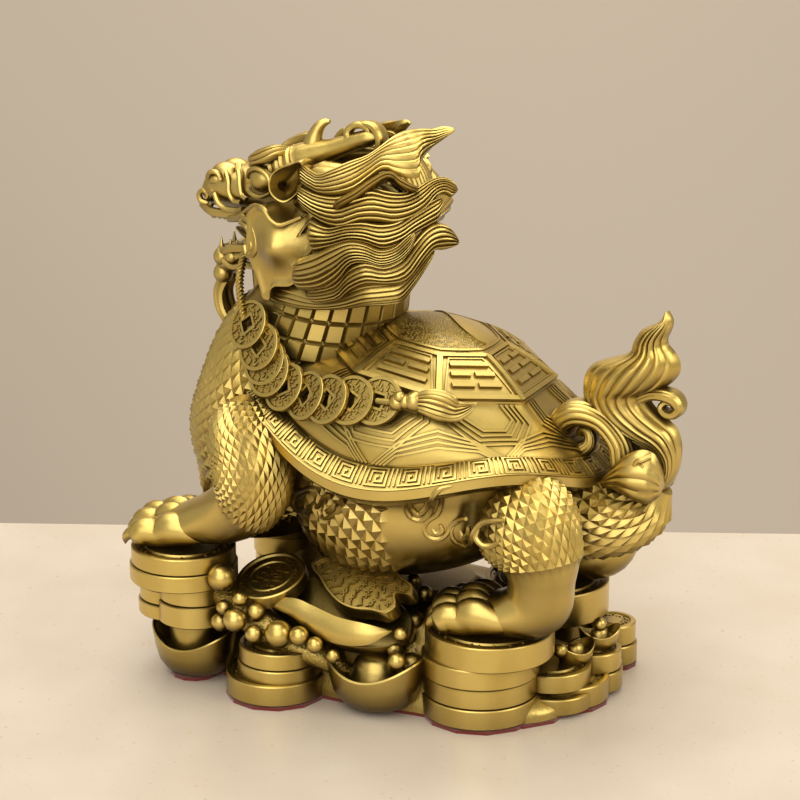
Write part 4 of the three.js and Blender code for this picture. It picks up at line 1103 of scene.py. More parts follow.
near_side = [mane_lock(*LOCK_EDGES[name], *make) for name, make in LOCK_MAKE.items()]
NAPE = [
    (
        [[-36, -12, 230], [-26, -15, 234], [-16, -15, 236], [-6, -11, 236], [2, -5, 234], [7, 0, 232]],
        [[-36, 12, 230], [-28, 15, 234], [-20, 15, 235], [-12, 13, 234], [-5, 9, 232], [5, 2, 230]],
    ),
    (
        [[-6, -16, 232], [2, -18, 226], [5, -16, 218], [8, -11, 209], [12, -4, 201], [14, 0, 195]],
        [[-14, 16, 231], [-7, 18, 225], [-4, 17, 217], [1, 13, 208], [7, 7, 200], [13, 1.4, 194]],
    ),
    (
        [[3, -14, 231], [9, -15, 221], [11, -15, 209], [10, -12, 197], [8, -8, 186], [4, -1, 175]],
        [[3, 14, 231], [8, 15, 221], [9, 15, 209], [9, 12, 197], [8, 7, 186], [4, 1, 174.5]],
    ),
]
nape = [leaf(one, other, 24, 9, 4.0, 6.0, off_mane, 1.0) for one, other in NAPE]
mass = limb(
    [
        [-46, 0, 203, 18, 24], [-37, 0, 201, 31, 30], [-26, 0, 199, 36, 32], [-16, 0, 199, 35, 31],
        [-8, 0, 200, 30, 28], [-1, 0, 201, 23, 23], [5, 0, 202, 15, 16], [9, 0, 203, 7, 8],
        [10.5, 0, 203, 0.6, 0.6],
    ],
    88, 16, lift=lambda u, v: 0.8 * (np.abs(np.cos(np.pi * 26 * u + 2.2 * np.sin(4 * v))) - 0.6),
)
# Hair that fills the gap from behind the ear to the mane.
temple = limb(
    [
        [-33, -20, 216, 9, 10], [-24, -24, 219, 12, 14], [-10, -23, 217, 12, 13], [2, -18, 210, 10, 12],
        [9, -12, 204, 5, 7], [10, -11, 203, 0.6, 0.6],
    ],
    56, 10, lift=lambda u, v: 1.1 * (np.abs(np.cos(np.pi * 14 * u + 1.5 * np.sin(4 * v))) - 0.6),
)
mane_parts = [mass, *both([temple]), *near_side, *(farther(part) for part in near_side), *nape]
print("mane triangles", sum(len(part[1]) for part in mane_parts))

# %% [markdown]
# ## Coins
# A cash coin is a flat disc with a raised rim, a square hole with its own raised frame, and struck signs
# between them. The real ones carry writing. Here the signs are rows of short strokes that spell nothing.

# %% One coin, and strokes that are no letters
def cash_coin(radius, thick, around=40, hole=0.26, rim=0.14):
    """Rings from the square hole to the round rim: the outline is a square that turns into a circle as
    it grows, so the hole is a real one."""
    u = np.arange(around) / around * TURN
    circle = np.stack([np.cos(u), np.sin(u)], axis=-1)
    square = circle / np.abs(circle).max(axis=1, keepdims=True)
    h = thick / 2
    rings = [
        (hole, 1, -h), (hole, 1, h), (hole * 1.38, 1, h), (hole * 1.45, 1, h * 0.3),
        (1 - rim * 1.2, 0, h * 0.3), (1 - rim, 0, h), (1 - 0.02, 0, h), (1, 0, h * 0.8), (1, 0, -h * 0.8),
        (0.98, 0, -h), (1 - rim, 0, -h), (hole * 1.38, 1, -h),
    ]
    outlines = (circle, square)
    grid = [np.c_[outlines[squared] * size * radius, np.full(around, z)] for size, squared, z in rings]
    return skin(np.array(grid), ring=True)


rng = np.random.default_rng(7)


def strokes(count, inner, outer, height, half, in_rows=False):
    """Short straight strokes in a ring between two radii, upright or lying, at seeded places. In rows
    they stand on three circles instead of at any radius."""
    angle = (np.arange(count) + rng.uniform(-0.25, 0.25, count)) / count * TURN
    radius = rng.uniform(inner, outer, count)
    if in_rows:
        radius = mix(inner, outer, (np.arange(count) % 3 + 0.5) / 3)
    lying = rng.integers(0, 2, count) * np.pi / 2
    lengths = rng.uniform(0.35, 0.75, count) * (outer - inner) * 0.8
    parts = []
    for a, r, turn, length in zip(angle, radius, lying, lengths):
        middle = np.array([r * np.cos(a), r * np.sin(a), height])
        way = np.array([np.cos(turn), np.sin(turn), 0]) * length / 2
        parts.append(ridge([middle - way, middle + way], (0, 0, 1), half, 0.6, 0.3, 0.7))
    return parts


def turned_to(part, normal, place, spin=0.0):
    """A part drawn lying flat at zero, turned so that its Z faces the normal, then moved to its place."""
    z = unit(np.asarray(normal, float))
    x = unit(np.cross([0.0, 1.0, 0.02], z))  # across both the normal and the figure's width
    y = np.cross(z, x)
    c, s = np.cos(spin), np.sin(spin)
    axes = np.array([x * c + y * s, y * c - x * s, z])
    points, triangles, grain = part
    return points @ axes + place, triangles, grain


COIN_RADIUS, COIN_THICK = 11.0, 2.2
string_coin = joined([cash_coin(COIN_RADIUS, COIN_THICK), *strokes(36, 4.4, 8.9, 0.36, 0.42, True)])
print("string coin triangles", len(string_coin[1]))

# %% The rope of coins
ROPE = [[-66, -15, 193], [-67, -19, 184], [-66, -24, 176], [-63, -28, 167], [-60, -31, 161]]
STRING_COINS = np.array([
    [-57, -33, 160], [-49, -38.5, 152.5], [-45, -41, 147], [-41, -44, 143], [-32, -48, 139],
    [-19, -53, 138], [-7, -57, 139], [4, -57, 140], [16, -56, 141],
])
COIN_LEAN = 0.13  # each coin rests on the next, so it leans back along the string
ROPE_HALF, ROPE_STRANDS, ROPE_TURNS = 1.6, 3, 7
twisted = lambda u, v: 0.38 * np.cos(ROPE_STRANDS * TURN * (u - ROPE_TURNS * v))
way = unit(np.gradient(STRING_COINS, axis=0))
string_parts = [
    limb(np.c_[np.array(ROPE, float), np.full((len(ROPE), 2), ROPE_HALF)], 24, 90, lift=twisted),
]
for k, (place, along) in enumerate(zip(STRING_COINS, way)):
    out = np.array([-0.2, -1, 0.3 + 0.4 * k / 8])
    out = unit(unit(out - along * (out @ along)) - COIN_LEAN * along)
    string_parts.append(turned_to(string_coin, out, place, 0.35 * k))
string_parts += [
    limb([[16, -57, 141.5, 1.4, 1.4], [23, -58, 142, 1.4, 1.4]], 10, 8), ball(25.5, -57.5, 142, 3.6),
    ball(29.2, -57, 142.6, 3.3), ball(27, -58.5, 145, 2.4),
    limb(
        [
            [30, -56, 143, 3.4, 3.4], [31.5, -56, 143, 4.2, 4.4], [34, -55.6, 143, 4.2, 4.4],
            [35, -55.4, 143, 3.6, 3.8],
        ],
        24, 14,
    ),
    limb(
        [
            [34, -55.5, 143, 3.4, 3.8], [39, -54.6, 143, 4.6, 5.8], [45, -53, 141.6, 4.6, 6.4],
            [50, -51, 140, 3.4, 4.4], [54, -48.8, 141, 1.8, 2.2], [57, -47, 143, 0.4, 0.4],
        ],
        64, 30, lift=strands(16, 0.8),
    ),
]
print("rope triangles", sum(len(part[1]) for part in string_parts))

# %% [markdown]
# ## The treasure bed
# The bed is one rough casting: coin stacks under the four paws, boat-shaped ingots, a big ingot with a
# lobed panel on its back, a medallion, and pearls that fill the gaps. Stacks are turned forms with a
# groove at every coin. Ingots are oval rings that grow and lift at the ends. A pile of separate coins
# and pearls would be the other way, but the real bed is one casting in which they run together.

# %% Stacks, pearls and the heap
BED_BOTTOM = 1.8  # top of the felt
EDGE_STEP = 0.8
FIELD_DEPTH = 0.8


def stack(x, y, diameter, bottom, top, coins):
    """A stack of coins, each second one a little smaller, with eased edges. The top coin has a raised
    rim round a sunk field with struck strokes."""
    coin = (top - bottom) / coins
    profile = [[0.5, bottom]]
    for k in range(coins):
        r, z = diameter / 2 - (k % 2) * EDGE_STEP, bottom + k * coin
        edge = [(1.3, 0), (0.4, 0.15), (0, 0.6), (0, coin - 0.6), (0.4, coin - 0.15), (1.3, coin)]
        profile += [[r - inwards, z + rise] for inwards, rise in edge]
    r = profile[-2][0]
    profile[-1] = [r - 0.9, top]
    face = [(1.8, 0), (2.5, 0.7), (5.5, FIELD_DEPTH), (6.2, 0.1), (7.2, 0.1)]
    profile += [[r - inwards, top - drop] for inwards, drop in face] + [[0.5, top - 0.1]]
    signs = strokes(24, r - 5.0, r - 3.0, 0, 0.42)
    return [turned(profile, x, y, 56)] + [(p + [x, y, top - FIELD_DEPTH], t, g) for p, t, g in signs]


FRONT_TOP, REAR_TOP = 61.7, 39.7
front = lambda share: mix(BED_BOTTOM, FRONT_TOP, share)
rear = lambda share: mix(BED_BOTTOM, REAR_TOP, share)
# Middle, diameter, bottom, top and coins of each stack. The near ones follow the photo.
STACKS = [
    (-82, -51, 48, front(0.74), FRONT_TOP, 2), (-90, -45, 33.6, front(0.42), front(0.76), 3),
    (-77, -50, 33.6, front(0.42), front(0.76), 2), (-78, -48, 24, front(0.16), front(0.5), 1),
    (-35, -54, 43.9, BED_BOTTOM, rear(0.25), 1), (-33, -54, 37.2, rear(0.2), rear(0.6), 2),
    (55, -36, 51, BED_BOTTOM, rear(0.72), 3), (58, -33, 56, rear(0.7), REAR_TOP, 1),
    (82, -6, 39.8, BED_BOTTOM, rear(0.26), 1), (79, -14, 35, rear(0.24), rear(0.46), 1),
    (81, -16, 35, BED_BOTTOM, rear(0.2), 1), (90, 9, 26, BED_BOTTOM, rear(0.48), 2),
    (87, 40, 23, BED_BOTTOM, rear(0.5), 2), (-82, 51, 48, front(0.6), FRONT_TOP, 2),
    (-78, 50, 40.8, BED_BOTTOM, front(0.62), 3), (-33, 54, 40.8, BED_BOTTOM, rear(0.6), 2),
    (55, 36, 51, BED_BOTTOM, rear(0.62), 2), (58, 33, 56, rear(0.6), REAR_TOP, 1),
]
bed_parts = [part for plan in STACKS for part in stack(*plan)]
# The heap between the stacks: rounded rectangles, each with its middle, two shares of the foot's half
# sides, and its height.
HEAP_LENGTH, HEAP_WIDTH, HEAP_GRAIN = 88, 53, 0.12
HEAP = [
    (4, 1, 1, BED_BOTTOM), (3, 0.98, 0.98, 7), (-6, 0.84, 0.88, 18), (-7, 0.74, 0.8, 30),
    (-4, 0.62, 0.66, 38.5), (0, 0.46, 0.42, 39.5), (2, 0.36, 0.32, 44),
]
u = np.arange(96) / 96 * TURN
fuller = lambda value: np.sign(value) * np.abs(value) ** 0.5
heap_x, heap_y = HEAP_LENGTH * fuller(np.cos(u)), HEAP_WIDTH * fuller(np.sin(u))
heap = [np.stack([c - k * heap_x, w * heap_y, np.full(len(u), z)], axis=-1) for c, k, w, z in HEAP]
bed_parts.append(skin(through(heap, 26), grain=HEAP_GRAIN))
# Place and radius of each pearl. The near ones follow the photo.
PEARLS = [
    (-57, -62, 52.8, 6.2), (-46.9, -64, 45.2, 3.3), (-40.2, -62, 39.5, 4.4), (-46.9, -69, 37.2, 5.2),
    (-38.2, -68, 31.8, 4.0), (-27, -66, 33, 6.2), (-17.2, -66, 33.7, 4.4), (-9.6, -66, 30.9, 3.7),
    (-1.9, -64, 26.4, 3.1), (-55, -64, 40, 3.4), (-58, -62, 32, 4.2), (21, -51, 29, 3.6),
    (23, -40, 30, 4.2), (28, -48, 22, 5.0), (12, -11, 45, 3.4), (23, -24, 45, 3.8), (24, -36, 37, 4.2),
    (25, -53, 37, 3.4), (26, -59, 27, 4.0), (84, -16, 26, 3.2), (93, 8, 31, 3.2), (98, 14, 12, 3.4),
    (-56, 50, 24, 5.5), (-54, 44, 33, 4.4), (-61, 52, 15, 4.4), (-10, 51, 24, 4.8), (-8, 45, 33, 4.2),
    (-14, 53, 16, 4.0), (33, 52, 16, 4.6), (-80, 20, 27, 5.0), (-84, 24, 19, 4.2), (-80, -21, 27, 4.6),
    (-84, -25, 18, 5.0), (-83, -14, 14, 3.6),
]
bed_parts += [ball(x, y, z, radius, around=18, rows=11) for x, y, z, radius in PEARLS]
print("stacks and pearls", len(bed_parts), "forms")

# %% Ingots and the medallion
def ingot(rings, place, length, turns):
    """A boat-shaped ingot of oval rings, which are half long, half wide and high as shares of its half
    length. `ends` lifts them at both ends by the square of the cosine. It is turned about X, Y and Z."""
    u = np.arange(72) / 72 * TURN
    c, s = np.cos(u), np.sin(u)
    grid = [
        np.stack([long * c, wide * s, high + ends * c * c], axis=-1) for long, wide, high, ends in rings
    ]
    points, triangles, grain = skin(np.array(grid) * length / 2)
    return points @ np.array(Euler(np.radians(turns)).to_matrix()).T + place, triangles, grain


BOAT = [
    (0.46, 0.38, 0.06, 0), (0.5, 0.42, 0.06, 0), (0.68, 0.53, 0.15, 0.01), (0.84, 0.62, 0.3, 0.04),
    (0.94, 0.68, 0.52, 0.2), (1.0, 0.71, 0.72, 0.4), (0.98, 0.68, 0.75, 0.4), (0.92, 0.62, 0.73, 0.4),
    (0.8, 0.56, 0.66, 0.26), (0.64, 0.5, 0.62, 0.06), (0.5, 0.43, 0.62, 0.02), (0.47, 0.41, 0.66, 0),
    (0.44, 0.38, 0.8, 0), (0.38, 0.33, 0.95, 0), (0.26, 0.23, 1.05, 0), (0.1, 0.09, 1.09, 0),
]
WIDE_BOAT = [
    (0.46, 0.28, -0.3, 0), (0.5, 0.3, -0.3, 0), (0.8, 0.4, -0.12, 0.02), (0.98, 0.46, 0.0, 0.06),
    (1.0, 0.47, 0.03, 0.06), (1.0, 0.47, 0.14, 0.06), (0.98, 0.45, 0.17, 0.06), (0.6, 0.3, 0.19, 0.0),
    (0.2, 0.11, 0.19, 0),
]
PANEL_EDGE = [
    [-24.0, -40.4, 57.9], [-21.8, -38.0, 59.7], [-18.1, -37.2, 60.5], [-11.4, -36.8, 61.3],
    [-4.5, -34.6, 63.2], [2.0, -33.7, 64.3], [8.5, -35.6, 63.3], [14.2, -38.1, 61.9], [20.3, -42.4, 59.2],
    [28.4, -47.1, 56.3], [28.6, -48.9, 55.0], [21.1, -49.9, 53.9], [23.4, -54.8, 50.5], [20.8, -57.7, 48.3],
    [12.1, -57.7, 47.8], [4.9, -57.8, 47.2], [-2.7, -56.1, 48.0], [-11.0, -51.5, 50.8],
    [-17.8, -46.0, 54.3], [-23.2, -42.2, 56.7],
]
PANEL_FACE = unit(np.array([-0.05, -0.58, 0.81]))
PANEL_SINK = 1.2


def lobed_panel():
    """A thick slab with the traced lobed edge: its wall goes down square to the face, and the field
    is sunk inside a raised rim."""
    edge = looped(PANEL_EDGE, 96)
    middle = edge.mean(axis=0)
    rings = [(0.9, -9.0), (1.0, -7.5), (1.0, -0.4), (0.985, 0.0), (0.93, 0.0)]
    rings += [(share, -PANEL_SINK) for share in (0.91, 0.5, 0.1)]
    grid = [middle + (edge - middle) * share + PANEL_FACE * rise for share, rise in rings]
    return skin(np.array(grid))


def panel_signs():
    """Rows of signs that follow the lobed edge inwards, all of short crossed strokes that spell nothing."""
    edge = looped(PANEL_EDGE, 120)
    middle = edge.mean(axis=0)
    across = unit(np.cross(PANEL_FACE, [-0.3, 0.8, 0.5]))
    up = np.cross(PANEL_FACE, across)
    parts = []
    for share, count in ((0.12, 3), (0.3, 8), (0.48, 12), (0.65, 17), (0.81, 24)):
        for start in middle + (edge[:: 120 // count][:count] - middle) * share - PANEL_SINK * PANEL_FACE:
            for turn in rng.uniform(-0.2, 0.2, 2) + rng.choice([0, np.pi / 2], 2):
                way = (across * np.cos(turn) + up * np.sin(turn)) * rng.uniform(1.0, 1.7)
                parts.append(ridge([start - way, start + way], PANEL_FACE, 0.42, 0.8, 0.4, 0.6))
    return parts


WING_TOP = [
    [-41, -57, 43], [-36, -57.5, 45], [-24.1, -58, 47.4], [-14.7, -59, 46], [-1.1, -61, 43.4],
    [11.5, -61, 42.6], [19.9, -58, 40.4], [22, -56, 39.5],
]
WING_FOOT = [
    [-41, -57.5, 42], [-34, -59, 41.6], [-22.6, -61, 39.5], [-9.5, -63, 33.7], [2.4, -64, 32.3],
    [13.5, -63, 33.7], [20.5, -59, 37.7], [22.2, -56.5, 38.9],
]
bed_parts += [
    ingot(BOAT, (-78, -50, 0), 42, (0, 0, -8)), ingot(BOAT, (12, -51, 0), 47, (0, 0, -5)),
    ingot(WIDE_BOAT, (-5, -40.5, 34.5), 66, (40, 6, -6)), lobed_panel(), *panel_signs(),
    leaf(WING_FOOT, WING_TOP, 30, 1, 1.6, 6.0, (-0.1, -0.85, 0.5), 0.0),
    ingot(BOAT, (12, 50, 0), 47, (0, 0, 5)), ingot(BOAT, (88, -8, 17), 19, (0, 0, 62)),
    ingot(BOAT, (92.5, 9, 19), 19, (0, 0, 40)),
]
MEDAL_PROFILE = [
    (0.4, -3.5), (15, -3.5), (16, -2.8), (16, 2.9), (15.4, 3.5), (14.2, 3.5), (13.5, 2.7), (10.6, 2.7),
    (10.2, 3.2), (9.5, 3.2), (9.1, 2.6), (0.4, 2.6),
]
medal = [
    turned(MEDAL_PROFILE, around=64), *strokes(28, 10.9, 13.1, 2.5, 0.42),
    *strokes(24, 1.5, 8.2, 2.4, 0.6, True),
]
for face, place in (((-0.1, -0.36, 0.93), (-40, -47, 49)), ((-0.78, 0, 0.63), (-78, 0, 22))):
    bed_parts += [turned_to(part, face, place) for part in medal]
# Low ridges that close the gaps under the pearls.
RIDGE_GRAIN = 0.6
pearl_ridges = [
    [[-66, -50, 44, 7], [-48, -55, 36, 8], [-30, -57, 27, 7], [-12, -56, 21, 5], [-2, -50, 14, 4]],
    [[22, -33, 36, 5], [24, -38, 26, 6], [26, -44, 12, 8]],
]
bed_parts += [limb(stations, 20, 24, grain=RIDGE_GRAIN) for stations in pearl_ridges]
print("bed triangles", sum(len(part[1]) for part in bed_parts))

# %% [markdown]
# ## Castings as Blender meshes
# Every casting is one mesh at the origin with its place in its points. Its forms run into each other
# instead of being cut and merged, which keeps every pyramid crisp, and from outside no seam shows. A
# stipple share rides on each point, so one brass material can tell matt punched ground from polished
# metal.

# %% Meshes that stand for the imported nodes
CRISP_ANGLE = 34  # degrees between two faces, above which their edge isn't shaded smooth


def casting(name, parts, node):
    """Joins the parts into one mesh in metres that rides on the root body and stands for its node."""
    points, triangles, grain = joined(parts)
    mesh = bpy.data.meshes.new(name)
    mesh.vertices.add(len(points))
    mesh.loops.add(3 * len(triangles))
    mesh.polygons.add(len(triangles))
    mesh.vertices.foreach_set("co", metres(points).astype(np.float32).ravel())
    mesh.loops.foreach_set("vertex_index", triangles.astype(np.int32).ravel())
    mesh.polygons.foreach_set("loop_start", np.arange(0, 3 * len(triangles), 3, dtype=np.int32))
    mesh.update(calc_edges=True)
    mesh.validate()
    mesh.attributes.new("stipple", "FLOAT", "POINT").data.foreach_set("value", grain.astype(np.float32))
    mesh.shade_smooth()
    mesh.set_sharp_from_angle(angle=np.radians(CRISP_ANGLE))
    piece = bpy.data.objects.new(name, mesh)
    bpy.context.scene.collection.objects.link(piece)
    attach(piece, "root")
    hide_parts(node)
    return piece


figure_parts = [*shell_parts, *body_parts, *leg_parts, *tail_parts, *head_parts, *mane_parts]
figure = casting("dragon_turtle_casting", figure_parts, "dragon_turtle")
# Ingots and pearls that stand lower than the bed's foot are pressed up to it.
bed_parts = [(np.c_[p[:, :2], np.maximum(p[:, 2], BED_BOTTOM)], t, g) for p, t, g in bed_parts]
bed = casting("treasure_bed_casting", bed_parts, "treasure_bed")
rope = casting("coin_rope_casting", string_parts, "coin_string")

# %% [markdown]
# ## Satin cast brass
# The castings are brass, polished on the high places and left darker in the hollows, where the toner
# stays. To the eye that is a warm gold with soft wide highlights, olive-brown creases and a fine grain
# from the polishing wheel, under a thin clear lacquer. Undersides and sheltered sides get painted shade.
# The dark places could be painted on. Here nodes read how hollow and how sheltered each place is, so
# the toner and the painted shade follow any change of form.

# %% A node helper and sRGB colours
def colour(code):
    """A hex sRGB colour as linear light: c/12.92 up to 0.04045, else ((c + 0.055)/1.055)^2.4."""
    c = np.array([int(code[k : k + 2], 16) for k in (1, 3, 5)]) / 255
    linear = np.where(c <= 0.04045, c / 12.92, ((c + 0.055) / 1.055) ** 2.4)
    return (*linear, 1.0)


def add(tree, kind, links=(), **settings):
    """A node with its settings. Each input, by name or number, gets a link from a socket or a value."""
    node = tree.nodes.new(kind)
    for name, value in settings.items():
        setattr(node, name, value)
    for socket, value in dict(links).items():
        if isinstance(value, bpy.types.NodeSocket):
            tree.links.new(value, node.inputs[socket])
        else:
            node.inputs[socket].default_value = value
    return node


def fresh(name):
    """A new material with an empty node tree."""
    material = bpy.data.materials.new(name)
    material.use_nodes = True
    material.node_tree.nodes.clear()
    return material, material.node_tree


MM = 0.001

# %% Satin cast brass
brass, tree = fresh("satin_cast_brass")
place = add(tree, "ShaderNodeTexCoord").outputs["Object"]
# How open a place is within 7 mm and 1.6 mm tells creases, where the toner lies, and within 45 mm it
# tells sheltered sides, which get painted shade.
hollow = add(tree, "ShaderNodeAmbientOcclusion", {"Distance": 7 * MM}, samples=4).outputs["AO"]
tight = add(tree, "ShaderNodeAmbientOcclusion", {"Distance": 1.6 * MM}, samples=4).outputs["AO"]
sheltered = add(tree, "ShaderNodeAmbientOcclusion", {"Distance": 45 * MM}, samples=4).outputs["AO"]
both_hollows = add(tree, "ShaderNodeMath", {0: hollow, 1: tight}, operation="MULTIPLY").outputs[0]
open_share = add(
    tree, "ShaderNodeMapRange", {"Value": both_hollows, "From Min": 0.06, "From Max": 0.7},
).outputs[0]
unsheltered = add(tree, "ShaderNodeMapRange", {"Value": sheltered, "From Min": 0.22, "From Max": 0.74}).outputs[0]
# Painted shade: downward faces and places sheltered within 45 mm turn the gold a dark olive-brown.
normal = add(tree, "ShaderNodeNewGeometry").outputs["Normal"]
facing = add(tree, "ShaderNodeSeparateXYZ", {"Vector": normal}).outputs["Z"]
upward = add(
    tree, "ShaderNodeMapRange", {"Value": facing, "From Min": -0.6, "From Max": 0.05, "To Min": 0.1},
).outputs[0]
unshaded_share = add(tree, "ShaderNodeMath", {0: unsheltered, 1: upward}, operation="MULTIPLY").outputs[0]
# The metal's own colour drifts a little over 22 mm patches. The polishing grain is about a tenth of a
# millimetre on the real figure and is drawn coarser, at 0.9 mm, because the picture can't show less.
cloudy = add(
    tree, "ShaderNodeTexNoise", {"Vector": place, "Scale": 1 / (22 * MM), "Detail": 3.0},
).outputs["Fac"]
drift = add(tree, "ShaderNodeMapRange", {"Value": cloudy, "From Min": 0.3, "From Max": 0.7}).outputs[0]
fine = add(
    tree, "ShaderNodeTexNoise", {"Vector": place, "Scale": 1 / (0.9 * MM), "Detail": 3.0},
).outputs["Fac"]
gold = add(
    tree, "ShaderNodeMix", {0: drift, 6: colour("#D3B860"), 7: colour("#DEC471")}, data_type="RGBA",
).outputs[2]
# The dark olive-brown mixed in here is painted shade, not a colour of the metal.
painted_shade = add(tree, "ShaderNodeMix", {0: unshaded_share, 6: colour("#5E4C1E"), 7: gold}, data_type="RGBA").outputs[2]
toned = add(
    tree, "ShaderNodeMix", {0: open_share, 6: colour("#7E6629"), 7: painted_shade}, data_type="RGBA",
).outputs[2]
# The matt half of the disc is punched with a round tool: pits 1.35 mm apart, darker and sunk.
punch = add(
    tree, "ShaderNodeTexVoronoi", {"Vector": place, "Scale": 1 / (1.35 * MM), "Randomness": 0.6},
).outputs["Distance"]
stipple = add(tree, "ShaderNodeAttribute", attribute_name="stipple").outputs["Fac"]
spots = add(tree, "ShaderNodeMapRange", {"Value": punch, "From Min": 0.15, "From Max": 0.5}).outputs[0]
pits = add(tree, "ShaderNodeMath", {0: spots, 1: stipple}, operation="MULTIPLY").outputs[0]
pitted = add(tree, "ShaderNodeMix", {0: pits, 6: toned, 7: colour("#957E35")}, data_type="RGBA").outputs[2]
# Worn metal mirrors softly, and the toner in the hollows is duller by 0.2.
worn = add(
    tree, "ShaderNodeMapRange",
    {"Value": fine, "From Min": 0.3, "From Max": 0.7, "To Min": 0.29, "To Max": 0.4},
).outputs[0]
dull = add(tree, "ShaderNodeMapRange", {"Value": open_share, "To Min": 0.2, "To Max": 0.0}).outputs[0]
rough = add(tree, "ShaderNodeMath", {0: worn, 1: dull}, operation="ADD").outputs[0]
grain_bump = add(
    tree, "ShaderNodeBump", {"Height": fine, "Strength": 0.10, "Distance": 0.2 * MM},
).outputs[0]
pit_settings = {"Height": pits, "Strength": 0.7, "Distance": 0.5 * MM, "Normal": grain_bump}
pit_bump = add(tree, "ShaderNodeBump", pit_settings, invert=True).outputs[0]
surface = add(
    tree, "ShaderNodeBsdfPrincipled",
    {
        "Base Color": pitted, "Metallic": 1.0, "Roughness": rough, "Normal": pit_bump, "Coat Weight": 0.4,
        "Coat Roughness": 0.22,
    },
).outputs[0]
add(tree, "ShaderNodeOutputMaterial", {"Surface": surface})
for piece in (figure, bed, rope):
    piece.data.materials.append(brass)
print("brass nodes", len(tree.nodes))

# %% [markdown]
# ## Red felt
# The pad under the bed is pressed wool felt. It shows as a thin red line, matt and slightly fuzzy, so it
# gets a rough surface with sheen and a fine mottle. Real fibres are far thinner than a picture's dot,
# so the mottle is drawn coarser, at half a millimetre.

# %% Pressed wool felt
felt, tree = fresh("pressed_wool_felt")
place = add(tree, "ShaderNodeTexCoord").outputs["Object"]
fibres = add(
    tree, "ShaderNodeTexNoise", {"Vector": place, "Scale": 1 / (0.5 * MM), "Detail": 4.0},
).outputs["Fac"]
tufts = add(tree, "ShaderNodeMapRange", {"Value": fibres, "From Min": 0.3, "From Max": 0.7}).outputs[0]
red = add(
    tree, "ShaderNodeMix", {0: tufts, 6: colour("#5E1C16"), 7: colour("#7A2A20")}, data_type="RGBA",
).outputs[2]
nap = add(tree, "ShaderNodeBump", {"Height": fibres, "Strength": 0.5, "Distance": 0.2 * MM}).outputs[0]
surface = add(
    tree, "ShaderNodeBsdfPrincipled",
    {"Base Color": red, "Roughness": 0.95, "Sheen Weight": 0.4, "Normal": nap},
).outputs[0]
add(tree, "ShaderNodeOutputMaterial", {"Surface": surface})
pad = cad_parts["felt_pad"]
pad.data.materials.clear()
pad.data.materials.append(felt)
print("felt on", pad.name)

# %% [markdown]
# ## Counter, wall, light and camera
# The figure stands on a pale quartz counter, well in front of a painted wall, in a room lit by wide
# ceiling panels. Cast metal shows what it mirrors, so the light comes as six soft squares: two at the
# ceiling, one on the wall from above and one from below, and two for the bright room in front and at the
# side. A picture of a room wrapped round the scene would mirror finer things, but it is an image file.

# %% Counter and wall
def slab(name, corners):
    """A flat stage piece from its four corners in figure millimetres."""
    mesh = bpy.data.meshes.new(name)
    mesh.from_pydata([tuple(p) for p in metres(corners)], [], [(0, 1, 2, 3)])
    mesh.update()
    piece = bpy.data.objects.new(name, mesh)
    bpy.context.scene.collection.objects.link(piece)
    return piece


AZIMUTH, ELEVATION = np.radians(25), np.radians(17)  # of the photo's camera, from the near side
BACK = np.array([
    np.sin(AZIMUTH) * np.cos(ELEVATION), -np.cos(AZIMUTH) * np.cos(ELEVATION), np.sin(ELEVATION),
])
SIDEWAYS = np.array([np.cos(AZIMUTH), np.sin(AZIMUTH), 0])
TOWARDS = np.array([np.sin(AZIMUTH), -np.cos(AZIMUTH), 0])
COUNTER_EDGE = np.array([-76.2, 160.4, 0])  # a place on the counter's back edge, and that edge's way
EDGE_WAY = np.array([0.9227, 0.3856, 0])
COUNTER_REACH, COUNTER_DEPTH = 2500, 1600
WALL_BEHIND, WALL_REACH, WALL_FOOT, WALL_TOP = 1500, 3500, -700, 2000
corners = ((-1, 0), (1, 0), (1, 1), (-1, 1))
counter = slab(
    "counter",
    [COUNTER_EDGE + EDGE_WAY * a * COUNTER_REACH + TOWARDS * b * COUNTER_DEPTH for a, b in corners],
)
wall_foot = COUNTER_EDGE - TOWARDS * WALL_BEHIND
wall = slab(
    "wall",
    [wall_foot + SIDEWAYS * a * WALL_REACH + [0, 0, mix(WALL_FOOT, WALL_TOP, b)] for a, b in corners],
)
# Polished quartz: an even warm grey with few darker specks, and a soft mirror image of the figure.
stone, tree = fresh("pale_quartz_counter")
place = add(tree, "ShaderNodeTexCoord").outputs["Object"]
specks = add(
    tree, "ShaderNodeTexNoise", {"Vector": place, "Scale": 1 / (3.2 * MM), "Detail": 2.0},
).outputs["Fac"]
broad = add(
    tree, "ShaderNodeTexNoise", {"Vector": place, "Scale": 1 / (60 * MM), "Detail": 2.0},
).outputs["Fac"]
mottle = add(tree, "ShaderNodeMapRange", {"Value": broad, "From Min": 0.35, "From Max": 0.65}).outputs[0]
base = add(
    tree, "ShaderNodeMix", {0: mottle, 6: colour("#CBBFAF"), 7: colour("#D2C7B9")}, data_type="RGBA",
).outputs[2]
few = add(tree, "ShaderNodeMapRange", {"Value": specks, "From Min": 0.66, "From Max": 0.74}).outputs[0]
shade = add(tree, "ShaderNodeMix", {0: few, 6: base, 7: colour("#C4AE90")}, data_type="RGBA").outputs[2]
surface = add(tree, "ShaderNodeBsdfPrincipled", {"Base Color": shade, "Roughness": 0.32}).outputs[0]
add(tree, "ShaderNodeOutputMaterial", {"Surface": surface})
counter.data.materials.append(stone)
# Matt wall paint is one even colour.
plaster, tree = fresh("painted_wall")
surface = add(
    tree, "ShaderNodeBsdfPrincipled", {"Base Color": colour("#BDB2A4"), "Roughness": 0.9},
).outputs[0]
add(tree, "ShaderNodeOutputMaterial", {"Surface": surface})
wall.data.materials.append(plaster)
print("stage ready")

# %% Lights, world and camera
TARGET = np.array([0.0, 0.0, 124.0])
DISTANCE = 1150.0
MM_PER_PIXEL = 0.44  # at the target's distance, measured off the photo
PICTURE = 800
SENSOR = 36.0


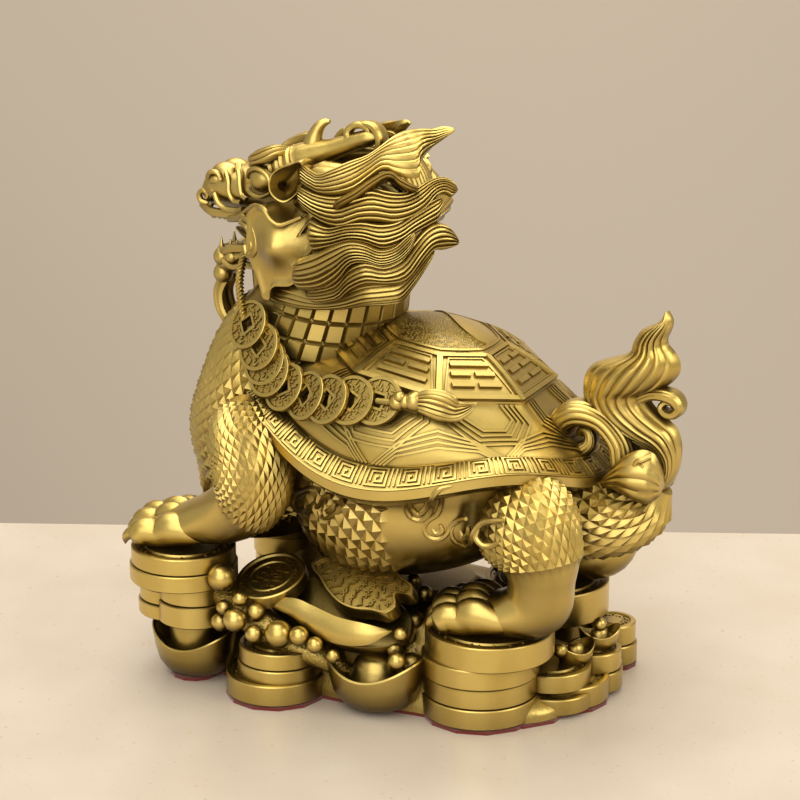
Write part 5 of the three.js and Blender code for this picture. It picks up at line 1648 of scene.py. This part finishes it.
def looking(data, place, aim):
    """A camera or light at a place: its own Z points back from what it looks at, its X lies level."""
    back = unit(np.asarray(place, float) - np.asarray(aim, float))
    level = unit(np.cross([0, 0, 1], back))
    rows = np.eye(4)
    rows[:3] = np.c_[level, np.cross(back, level), back, metres(place)]
    piece = bpy.data.objects.new(data.name, data)
    piece.matrix_world = Matrix(rows.tolist())
    bpy.context.scene.collection.objects.link(piece)
    return piece


def area(name, place, power, size, tint, aim):
    """A square area light at a place, of a power in watts and a side in metres, that faces its aim."""
    light = bpy.data.lights.new(name, "AREA")
    light.energy, light.size, light.color = power, size, colour(tint)[:3]
    return looking(light, place, aim)


ABOVE = np.array([0, 0, 1])
WALL_LOW = TARGET - TOWARDS * 1650
LIGHTS = [
    ("ceiling", TARGET + [-200, -260, 1300], 8.6, 1.1, "#FFFAF0", TARGET),
    ("ceiling_behind", TARGET + [-100, 520, 1250], 4.4, 1.0, "#FFFAF0", TARGET),
    (
        "wall_wash", TARGET - TOWARDS * 800 + ABOVE * 1150, 11.5, 1.4, "#FFF6E8",
        WALL_LOW + SIDEWAYS * 250 - ABOVE * 150,
    ),
    (
        "floor_wash", TARGET - TOWARDS * 900 + SIDEWAYS * 300 - ABOVE * 720, 4.0, 1.4, "#FFF6EC",
        WALL_LOW + SIDEWAYS * 300,
    ),
    ("room_front", TARGET - SIDEWAYS * 250 + TOWARDS * 1050 + ABOVE * 620, 9.0, 1.3, "#FFFAF2", TARGET),
    ("room_side", TARGET + SIDEWAYS * 950 + TOWARDS * 450 + ABOVE * 650, 4.2, 0.7, "#FFF4E2", TARGET),
]
for light in LIGHTS:
    area(*light)
world = bpy.data.worlds.new("soft_room")
world.use_nodes = True
world.node_tree.nodes["Background"].inputs["Color"].default_value = colour("#CFC8BC")
world.node_tree.nodes["Background"].inputs["Strength"].default_value = 0.76
bpy.context.scene.world = world
camera = bpy.data.cameras.new("photo_view")
camera.sensor_width = SENSOR
camera.lens = SENSOR * DISTANCE / (MM_PER_PIXEL * PICTURE)
bpy.context.scene.camera = looking(camera, TARGET + BACK * DISTANCE, TARGET)
bpy.context.scene.view_settings.view_transform = "Standard"
print("lens", round(camera.lens, 1), "mm")
